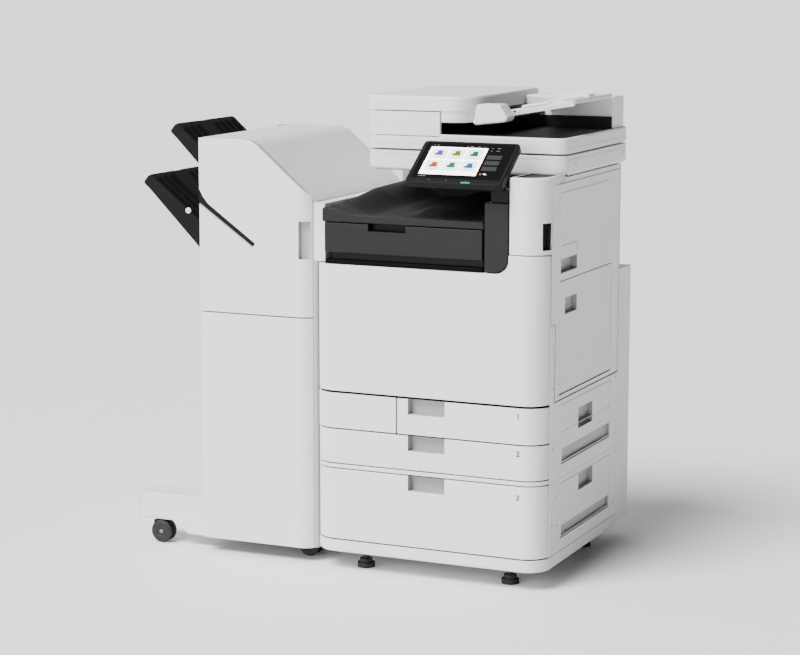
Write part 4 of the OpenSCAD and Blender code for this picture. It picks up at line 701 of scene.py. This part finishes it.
def side_panel(name, body, y_range, z_range, depth, edge, finishes, cuts=(), shape=None, x_face=None, **ride):
    """A flat panel on the right side, as a grid of heights by depths on its outer face. Each edge
    rolls in by a quarter circle, and a skirt in the last finish goes back by depth. Cuts (y0, y1,
    z0, z1, depth, finish) are windows pushed in, or out where the depth is negative."""
    a0, a1 = y_range
    b0, b1 = z_range
    soft = 0.6
    roll = edge * (1 - np.cos(np.radians(np.linspace(0, 90, 4))))

    def lines(low, high, k):
        inner = sorted({v for c in cuts for v in (c[k], c[k] + soft, c[k + 1] - soft, c[k + 1])})
        inner = [v for v in inner if low + edge < v < high - edge]
        return np.concatenate([low + roll, inner, (high - roll)[::-1]])

    ys, zs = lines(a0, a1, 0), lines(b0, b1, 2)
    face = unit_w if x_face is None else x_face
    gy, gz = np.meshgrid(ys, zs)
    close = np.minimum(np.minimum(gy - a0, a1 - gy), np.minimum(gz - b0, b1 - gz))
    t = np.clip(close / edge, 0, 1)
    sunk = edge * (1 - np.sqrt(1 - (1 - t) ** 2))
    finish_mark = np.zeros(gy.shape, int)
    for c in cuts:
        window = ((gy > c[0] + soft / 2) & (gy < c[1] - soft / 2)
                  & (gz > c[2] + soft / 2) & (gz < c[3] - soft / 2))
        sunk = np.where(window, c[4], sunk)
        finish_mark = np.where(window, c[5], finish_mark)
    grid = np.stack([face - sunk, gy, gz], -1)
    for way in (0, 1):
        first, last = (grid.take([k], way) * [0, 1, 1] + [face - depth, 0, 0] for k in (0, -1))
        grid = np.concatenate([first, grid, last], way)
    finish_mark = np.pad(finish_mark, 1, constant_values=len(finishes) - 1)
    if shape is not None:
        grid = shape(grid)
    faces = quads(*grid.shape[:2])
    which = finish_mark.reshape(-1)[faces].max(1).tolist()
    made = piece(name, body, grid, faces.tolist(), finishes, which, **ride)
    shell = made.modifiers.new("skin", "SOLIDIFY")
    shell.thickness = min(2.0, depth - 0.3) / 1000
    shell.offset = -1
    return made


x0, x1, y0, y1, z0, z1 = extent("right_door")
mp = extent("multipurpose_tray")


def front_strip_left_free(grid):
    """Below the strip's top, the door's front edge stands back from the fixed strip."""
    grid[..., 1] = np.where(grid[..., 2] < strip_top, np.maximum(grid[..., 1], strip_back), grid[..., 1])
    return grid


strip_top, strip_back = 654, 77
mp_window = (mp[2] - 2, mp[3] + 2, mp[4] - 2.8, mp[5] + 2)
# the grey paints shade in the recesses, and the last finish, black, paints the shade of the gap round each
# panel on its skirt
side_finishes = [white_abs, recess_shade_grey, gap_shade_black]
side_panel("side_door", "right_door", (y0, y1), (z0, z1), 2.5, 1.5, side_finishes,
           cuts=[(*mp_window, 16.5, 0), (104, 452, z1 - 111, z1 - 22, -1.5, 0),
                 (111, 225, z1 - 218, z1 - 150, 16, 1),
                 (60, strip_back - 0.1, strip_top - 0.5, strip_top + 0.5, 0, 0)],
           shape=front_strip_left_free, stands_for=["right_door"])
side_panel("side_door_grip_flap", "right_door", (112, 224), (z1 - 184, z1 - 151), 3, 1.2, [white_abs],
           x_face=unit_w - 0.4, slot="right_door")
for y in (128, 428):
    side_panel(f"plate_dot_{y}", "right_door", (y, y + 5), (z1 - 107, z1 - 102), 1, 0.8, [printed_grey],
               x_face=unit_w + 1.45, slot="right_door")
# the side tray's grip cup is painted light grey: painted shade inside it
side_panel("side_tray", "multipurpose_tray", mp[2:4], (mp[4] + 0.6, mp[5]), 6, 1.8, side_finishes,
           cuts=[(141, 226, mp[5] - 84, mp[5] - 43, 14, 1)], stands_for=["multipurpose_tray"])
# each cover's pull cup and the recess along its lower edge are painted light grey: painted shade
for name, node, cup, vent_h in (("lower_side_cover", "lower_right_cover", (248, 352, 82, 30), 36),
                                ("pedestal_side_cover", "pedestal_right_cover", (254, 359, 45, 2.5), 30)):
    low, high = extent(node)[4:]
    cuts = [(*cup[:2], high - cup[2], high - cup[3], 14, 1), (132, 484, low + 3, low + vent_h, 7, 1)]
    if node == "lower_right_cover":
        cuts += [(126, 489, high - 69.5, high - 67.5, 1.2, 0)]
    side_panel(name, node, extent(node)[2:4], (low, high), 7, 2, side_finishes, cuts=cuts, stands_for=[node])

scanner = extent("scanner_housing")
mould("scanner_seat_rail", "main_unit", (unit_w - 14, unit_w - 0.4, scanner[2] + 1, unit_d - 3), (1, 2, 2, 1),
      (z1 + 1.2, scanner[4] - 0.6), (0.5, 0.5), [white_abs], slot="right_side_covers")

# ---- Screws
# Pan-head screws of bright zinc-plated steel hold the side covers and the scanner. Each head is
# turned about its axis, with a shallow dish where its recess is.

zinc = finish_of("zinc_plated_steel", "#8E9194", "#7D8083", 0.35, 0.8, 0.01, metallic=0.9)


def disc(name, body, centre, axis, profile, finishes, steps=24, **ride):
    """A turned piece: the profile of (radius, distance along the axis) carried round the axis."""
    a = np.linspace(0, 2 * np.pi, steps, endpoint=False)
    r, h = np.array(profile, float).T
    across = np.stack([r[:, None] * np.cos(a), r[:, None] * np.sin(a), np.repeat(h[:, None], steps, 1)], -1)
    order = {"x": [2, 0, 1], "y": [1, 2, 0], "z": [0, 1, 2]}[axis]
    grid = across[..., order] + np.array(centre, float)
    rows = len(profile)
    faces = quads(rows, steps, True).tolist()
    faces += [list(range(steps))[::-1], list(range((rows - 1) * steps, rows * steps))]
    return piece(name, body, grid, faces, finishes, **ride)


screw_head = [(3.2, -1), (3.2, 0.3), (2.4, 0.7), (1.0, 0.7), (0.6, 0.1)]
screw_places = {"cover": [(100, 222), (102, 148), (541, 249), (524, 114), (67, 157), (66, 346), (65, 496),
                          (531, 448), (532, 300)],
                "scanner": [(209, 1031), (556, 1030), (156, 1005)]}
for part, places in screw_places.items():
    for n, (y, z) in enumerate(places):
        disc(f"{part}_screw_{n}", "main_unit", (unit_w, y, z), "x", screw_head, [zinc], steps=16)

# ---- Finisher front
# The finisher's two white fronts share one rounded right edge. The upper one follows the hood's
# flat top, round shoulder and slope, and has a pull recess in its corner.

x0, x1, y0, y1, z0, z1 = extent("finisher_front_door")
x1 = extent("finisher_panels")[1]
top_z, right_z = z1, z1 - 148
shoulder_x, shoulder_r, fin_r = x0 + 125, 70, 45


def hood_top(x):
    """Height of the hood over x: flat, then an arc about a centre under the shoulder until it
    slopes at 42 degrees from level, then the straight slope down to the right wall."""
    turn = shoulder_x + shoulder_r * math.cos(math.radians(48))
    turn_z = top_z - shoulder_r + shoulder_r * math.sin(math.radians(48))
    arc = top_z - shoulder_r + np.sqrt(np.maximum(shoulder_r ** 2 - np.clip(x - shoulder_x, 0, None) ** 2, 0))
    end_x, end_z = x1 - 14, right_z + 14
    slope_z = turn_z + (np.clip(x, turn, end_x) - turn) * (end_z - turn_z) / (end_x - turn)
    slope_z = slope_z - np.clip(x - end_x, 0, None) * 1.2
    return np.where(x < shoulder_x, top_z, np.where(x < turn, arc, slope_z))


def under_hood(grid):
    """Scales each column of the wall, above the pull recess, to the hood's height over it."""
    fixed = top_z - 190
    share = (hood_top(grid[..., 0]) - fixed) / (top_z - fixed)
    grid[..., 2] = np.where(grid[..., 2] > fixed, fixed + (grid[..., 2] - fixed) * share, grid[..., 2])
    grid[..., 1] = np.where(grid[..., 0] < x0 + 3, np.minimum(grid[..., 1], y1 - 2), grid[..., 1])
    return grid


hood_stops = [("front", shoulder_x + shoulder_r * math.sin(math.radians(a))) for a in range(0, 43, 6)]
hood_stops += [("front", x0 + k) for k in (40, 90, 200, 240, 272)] + [("z", top_z - 189)]
# the corner pull recess is painted light grey: painted shade inside it
mould("finisher_upper_front", "finisher_front_door", (x0, x1, y0, y1), (1.5, fin_r, 4, 4), (z0, z1),
      (1.5, 2.5), [white_abs, recess_shade_grey], cuts=[("corner", 276, 318, z0 + 147.5, z0 + 242.5, 13, 1)],
      returns=(18, 18), closed=False, more=hood_stops, shape=under_hood, turns=16, skin=2.5,
      stands_for=["finisher_front_door"])
carry("sheet_slot", "finisher_front_door",
      [(x0 - 0.3, z1 - 168, 0), (x0 + 2, z1 - 168, 2), (x0 + 152, z1 - 271, 2), (x0 + 160, z1 - 262, 2),
       (x0 + 25, z1 - 166, 4), (x0 + 12, z1 - 150, 2), (x0 - 0.3, z1 - 128, 0)],
      y0 - 0.25, y0 + 4, 0.2, [black_abs], slot="finisher_front_door")
# The same ABS in shade: a mid grey that draws the slot's lower edge.
sloped_grey = finish_of("shaded_grey_abs", "#8C8E90", "#848688", 0.5, 1.6, 0.02)
carry("sheet_slot_bevel", "finisher_front_door",
      [(x0 + 0.5, z1 - 168, 0.3), (x0 + 151, z1 - 271.5, 0.6), (x0 + 152.5, z1 - 269, 0.6),
       (x0 + 3, z1 - 165.5, 0.6)],
      y0 - 0.4, y0 + 3, 0.2, [sloped_grey], slot="finisher_front_door")

z0, z1 = extent("finisher_lower_cover")[4:]
mould("finisher_lower_front", "main_unit", (x0, x1, y0, y1), (1.5, fin_r, 4, 4), (z0, z1), (2, 1.5),
      [white_abs], cuts=[("all", 0, 0, 65, 66.8, 0.8, 0)], returns=(0, 18), closed=False, turns=16, skin=2.5,
      stands_for=["finisher_lower_cover"])

# a black sheet in the joint between finisher and main unit is painted shade
mould("docking_gap_shade", "main_unit", (x1 + 0.5, -0.5, 62, 76), 1, (z0 + 4, 900), (0.3, 0.3), [gap_shade_black],
      slot="finisher_frame")

# ---- Finisher hood
# One long white ABS moulding over the finisher, bent round its shoulder and down to the right. It
# is a thin shell, closed behind by a flat wall, with a black paper guide at its back left corner.

x0, x1, y0, y1, z0, z1 = extent("finisher_hood")
fin_x0 = extent("finisher_front_door")[0]
shoulder_end = shoulder_x + shoulder_r * math.sin(math.radians(42))
line = np.concatenate([[fin_x0], np.linspace(shoulder_x, shoulder_end, 8),
                       np.linspace(fin_x0 + 190, x1 - 14, 6), [x1 - 6, x1 - 1.5]])
outer = np.stack([line, hood_top(line)], -1)
outer = np.concatenate([[[fin_x0, z1 - 38]], outer, [[x1, hood_top(x1) - 14], [x1, z1 - 150]]])
inner = np.stack([np.clip(outer[:, 0], fin_x0 + 3, x1 - 3), outer[:, 1] - 4], -1)
ring = np.concatenate([outer[::-1], inner])
ys = np.array([y1, y1, y1 - 1, 51.2, 50.2, 50.2])
ins = np.array([1.2, 1.0, 0, 0, 0.8, 1.0])
rings = np.stack([drawn_in(ring, i) for i in ins])
grid = np.stack([rings[..., 0], np.repeat(ys[:, None], len(ring), 1), rings[..., 1]], -1)
count = len(ring)
faces = quads(len(ys), count, True).tolist()
half = len(outer)
for row in (0, len(ys) - 1):
    for k in range(half - 1):
        cell = [row * count + v for v in (k, k + 1, count - 2 - k, count - 1 - k)]
        faces.append(cell[::-1] if row == 0 else cell)
piece("hood_cover", "main_unit", grid, faces, [white_abs], stands_for=["finisher_hood"])
carry("hood_back_wall", "main_unit",
      [(fin_x0 + 0.5, z1 - 190, 1), (x1, z1 - 190, 1), (x1, right_z - 6, 3),
       (shoulder_x + 55, top_z - 24, 20), (shoulder_x, top_z - 3, 20), (fin_x0 + 0.5, top_z - 3, 3)],
      y1 - 5, y1 - 1, 1, [white_abs], slot="finisher_hood")
carry("back_paper_guide", "main_unit",
      [(fin_x0 - 32, top_z - 15, 2), (fin_x0 + 1, top_z - 15, 1), (fin_x0 + 1, top_z - 3, 1),
       (fin_x0 - 32, top_z - 3, 2)], y1 - 50, y1 - 12, 1, [black_abs], slot="finisher_hood")

# ---- Stacking trays
# Two black trays outside the finisher's left wall, ribbed along the sheets' way, with a notch in
# the outer edge for the hand.


def stacking_tray(name, node, nose_z, wall_z, thick, ribs=9):
    """The tray's outline carried from back to front. Its upper line goes from the wall to a nose,
    and its underside runs straight back down to the wall. The corners of tray, bed and ribs run
    clockwise, so their faces point inwards and their ends flare."""
    tx0, _, ty0, ty1 = extent(node)[:4]
    wall_x = fin_x0 - 0.8
    notch = ((ty0 + ty1) / 2 - 45, (ty0 + ty1) / 2 + 5)
    notch_stops = [notch[0], notch[0] + 1, notch[1] - 1, notch[1]]

    def notched_edge(grid):
        """Pulls the nose back by 22 mm within the notch."""
        x, y = grid[..., 0], grid[..., 1]
        within = (y > notch[0] + 0.5) & (y < notch[1] - 0.5)
        grid[..., 0] = np.where(within, np.maximum(x, tx0 + 22), x)
        return grid

    carry(name, node, [(tx0 + 22, nose_z - 20, 8), (tx0, nose_z, 3), (tx0 + 16, nose_z + 20, 8),
                       (wall_x, wall_z, 1), (wall_x, wall_z - thick, 1)],
          ty0, ty1, 2.5, [black_abs], shape=notched_edge, stops=notch_stops, stands_for=[node])
    carry(name + "_bed", node, [(tx0 + 15, nose_z + 19, 1), (tx0 + 17, nose_z + 21.5, 2),
                                (wall_x - 1, wall_z + 2, 0), (wall_x - 1, wall_z + 0.2, 0)],
          ty0 + 3, ty1 - 3, 0.4, [black_abs], shape=notched_edge, stops=notch_stops, slot=node)
    for k in range(ribs):
        rib_y = ty0 + 22 + k * (ty1 - ty0 - 44) / (ribs - 1)
        if notch[0] - 4 < rib_y < notch[1] + 4:
            continue
        carry(f"{name}_rib_{k}", node, [(tx0 + 28, nose_z + 13, 1), (tx0 + 30, nose_z + 15.5, 2),
                                        (wall_x - 2, wall_z + 3.4, 1), (wall_x - 2, wall_z + 1, 0)],
              rib_y, rib_y + 2.4, 0.5, [black_abs], slot=node)
    for arm_y in (140, 340):
        carry(f"{name}_arm_{arm_y}", node,
              block((wall_x - 1, fin_x0 + 20), (wall_z - thick + 4, wall_z - 8), 1, 1),
              arm_y, arm_y + 20, 1, [black_abs], slot=node)


stacking_tray("upper_stacking_tray", "upper_tray", top_z + 8, top_z - 62, 46)
stacking_tray("lower_stacking_tray", "lower_tray", top_z - 126, top_z - 248, 70)
white_knob = (fin_x0 - 65, 88.4, top_z - 194)
disc("tray_knob", "lower_tray", white_knob, "y",
     [(2.2, -0.6), (2.6, -1.8), (6, -1.8), (7.5, -1), (7.5, 2)], [white_abs], slot="lower_tray")

# ---- Outrigger and casters
# The white arm keeps the finisher upright when its trays are loaded. Twin-wheel casters carry
# the arm and the front of the finisher. Their rubber tyres sit on plastic hubs; each wheel here,
# hub and tyre, is turned in one rubber finish.

arm_x0 = extent("finisher_frame")[0]
arm_step, arm_low, arm_top = 61.5, 29.5, 135.5
carry("outrigger_cover", "main_unit",
      [(arm_x0, arm_step, 3), (arm_x0 + 105, arm_step, 8), (arm_x0 + 147, arm_low, 8),
       (fin_x0 - 0.5, arm_low, 1), (fin_x0 - 0.5, arm_top, 1), (arm_x0 + 11.6, arm_top, 4)],
      59.5, 130.5, 3, [white_abs], slot="finisher_frame")
# Tyre rubber: matt, near black, with no clear highlight.
rubber = finish_of("black_rubber", "#0F0F10", "#151516", 0.62, 2.0, 0.05)
wheel_r = 30
tyre = [(5, 1.5), (12, 1.5), (14, 0.2), (23, 0.2), (24, 1), (27, 0.6), (29.2, 1.6), (wheel_r, 3.4),
        (wheel_r, 6.6), (29.2, 8.4), (27, 9.4), (24, 9), (23, 9.8), (14, 9.8), (12, 8.5), (5, 8.5)]
for side in ("left", "right"):
    node = f"caster_wheels_{side}"
    wx0, wx1, wy0, wy1 = extent(node)[:4]
    hub_x = (wx0 + wx1) / 2
    for k, start in enumerate((wy0, wy1 - 10)):
        disc(f"caster_{side}_wheel_{k}", node, (hub_x, start, wheel_r), "y", tyre, [rubber], steps=40,
             stands_for=[node] if k == 0 else (), slot=node)
    disc(f"caster_{side}_axle", node, (hub_x, wy0, wheel_r), "y",
         [(4, 0.5), (5, 1), (5, wy1 - wy0 - 1), (4, wy1 - wy0 - 0.5)], [zinc], slot=node)

# ---- Inner parts and covers that keep their CAD shape
# Sheet steel, rollers, drums and the remaining covers keep their machined shape. The outer
# covers get a small bevel, as moulding gives them.

# Galvanised sheet: a dull grey sheen with pale clouds. Ground steel: a brighter, streaked shine.
galvanised = finish_of("galvanised_sheet_steel", "#A9ADB0", "#8F9396", 0.38, 6.0, 0.02, metallic=0.85)
turned_steel = finish_of("ground_steel", "#B6BABD", "#A5A9AC", 0.22, 0.9, 0.01, metallic=1.0,
                         stretch=(1, 0.1, 1))
# The drums' coating is a glossy green, and the belt's film is nearly black and glossy.
drum_coat = finish_of("photoconductor_coating", "#2F6E68", "#2A625D", 0.16, 3.0, 0.0)
belt_film = finish_of("polyimide_belt", "#17161A", "#1F1D22", 0.2, 8.0, 0.01)
# The two fuser rollers are matt rubber, one red-brown and one grey.
silicone = finish_of("silicone_rubber", "#7A3F2E", "#6F3829", 0.5, 1.2, 0.02)
sleeve_grey = finish_of("grey_silicone_sleeve", "#5B5B5F", "#515155", 0.5, 1.2, 0.02)
finish_by_node = {
    white_abs: ["left_cover", "right_side_covers", "rear_covers", "finisher_panels"],
    dark_abs: ["panel_bracket", "power_key"],
    black_abs: ["scan_carriage", "cooling_fan", "caster_fork_left", "caster_fork_right"],
    galvanised: [f"cassette_{n}_tray" for n in (1, 2, 3)] + ["main_frame", "cassette_rails", "drive_unit",
                                                             "finisher_frame"],
    turned_steel: ["carriage_rods", "feeder_hinges", "belt_roller_left", "belt_roller_right"],
    drum_coat: [f"drum_{n}" for n in range(1, 5)],
    belt_film: ["transfer_belt"],
    silicone: ["fuser_roller"],
    sleeve_grey: ["pressure_roller"],
    rubber: ["feeder_roller", "levelling_feet"],
    clear_glass: ["platen_glass"],
}
for finish, nodes in finish_by_node.items():
    for node in nodes:
        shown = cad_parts[node]
        shown.data.materials.clear()
        shown.data.materials.append(finish)
        if finish is white_abs:
            shown.modifiers.new("joined", "WELD").merge_threshold = 0.00001
            soft_edge = shown.modifiers.new("soft_edge", "BEVEL")
            soft_edge.width = 0.0006
            soft_edge.segments = 2
            soft_edge.limit_method = "ANGLE"
            soft_edge.angle_limit = math.radians(35)

# ---- Studio
# A pale floor that runs on to the horizon, a white sky that is dimmer on the right, a broad
# high lamp from the front left, and a soft box that fills the front.

floor_paint = finish_of("pale_matt_floor", "#EEEEEE", "#EBEBEB", 0.9, 40.0, 0.0)
mesh = bpy.data.meshes.new("floor")
half = 400.0
corners = [(-half, -half), (half, -half), (half, half), (-half, half)]
mesh.from_pydata([(x, y, -0.0005) for x, y in corners], [], [(0, 1, 2, 3)])
mesh.materials.append(floor_paint)
floor = put("floor", mesh)

world = bpy.data.worlds.new("studio")
bpy.context.scene.world = world
world.use_nodes = True
sky = world.node_tree.nodes["Background"]
sky.inputs["Color"].default_value = (1, 1, 1, 1)
toward = add(world, "SeparateXYZ", {"Vector": add(world, "TexCoord", {}).outputs["Generated"]})
fall = add(world, "MapRange", {"Value": toward.outputs["X"], "From Min": -1.0, "From Max": 0.6,
                               "To Min": 1.2, "To Max": 0.0})
world.node_tree.links.new(fall.outputs[0], sky.inputs["Strength"])

# a square lamp at place that faces aim; in metres and watts
place, aim = np.array([-1.0, -5.0, 1.6]), np.array([0, 0, 0.7])
side_way, far_way, up_way = aim - place
box_lamp = bpy.data.lights.new("fill", "AREA")
box_lamp.size, box_lamp.energy = 2.4, 110
fill = put("fill", box_lamp)
fill.location = place
fill.rotation_euler = (math.pi / 2 - math.atan2(-up_way, math.hypot(side_way, far_way)), 0,
                       math.atan2(far_way, side_way) - math.pi / 2)
beam = bpy.data.lights.new("window_light", "SUN")
beam.energy = 6.2
beam.angle = math.radians(30)
window_light = put("window_light", beam)
window_light.rotation_euler = (math.radians(36), 0, math.radians(-26))

camera = bpy.data.cameras.new("camera")
camera.lens = 102.41
camera.sensor_width = 36
eye = put("camera", camera)
eye.location = (2.46625, -5.3065, 1.535)
eye.rotation_euler = (math.radians(90 - 9.334), 0, math.radians(24.305))
bpy.context.scene.camera = eye
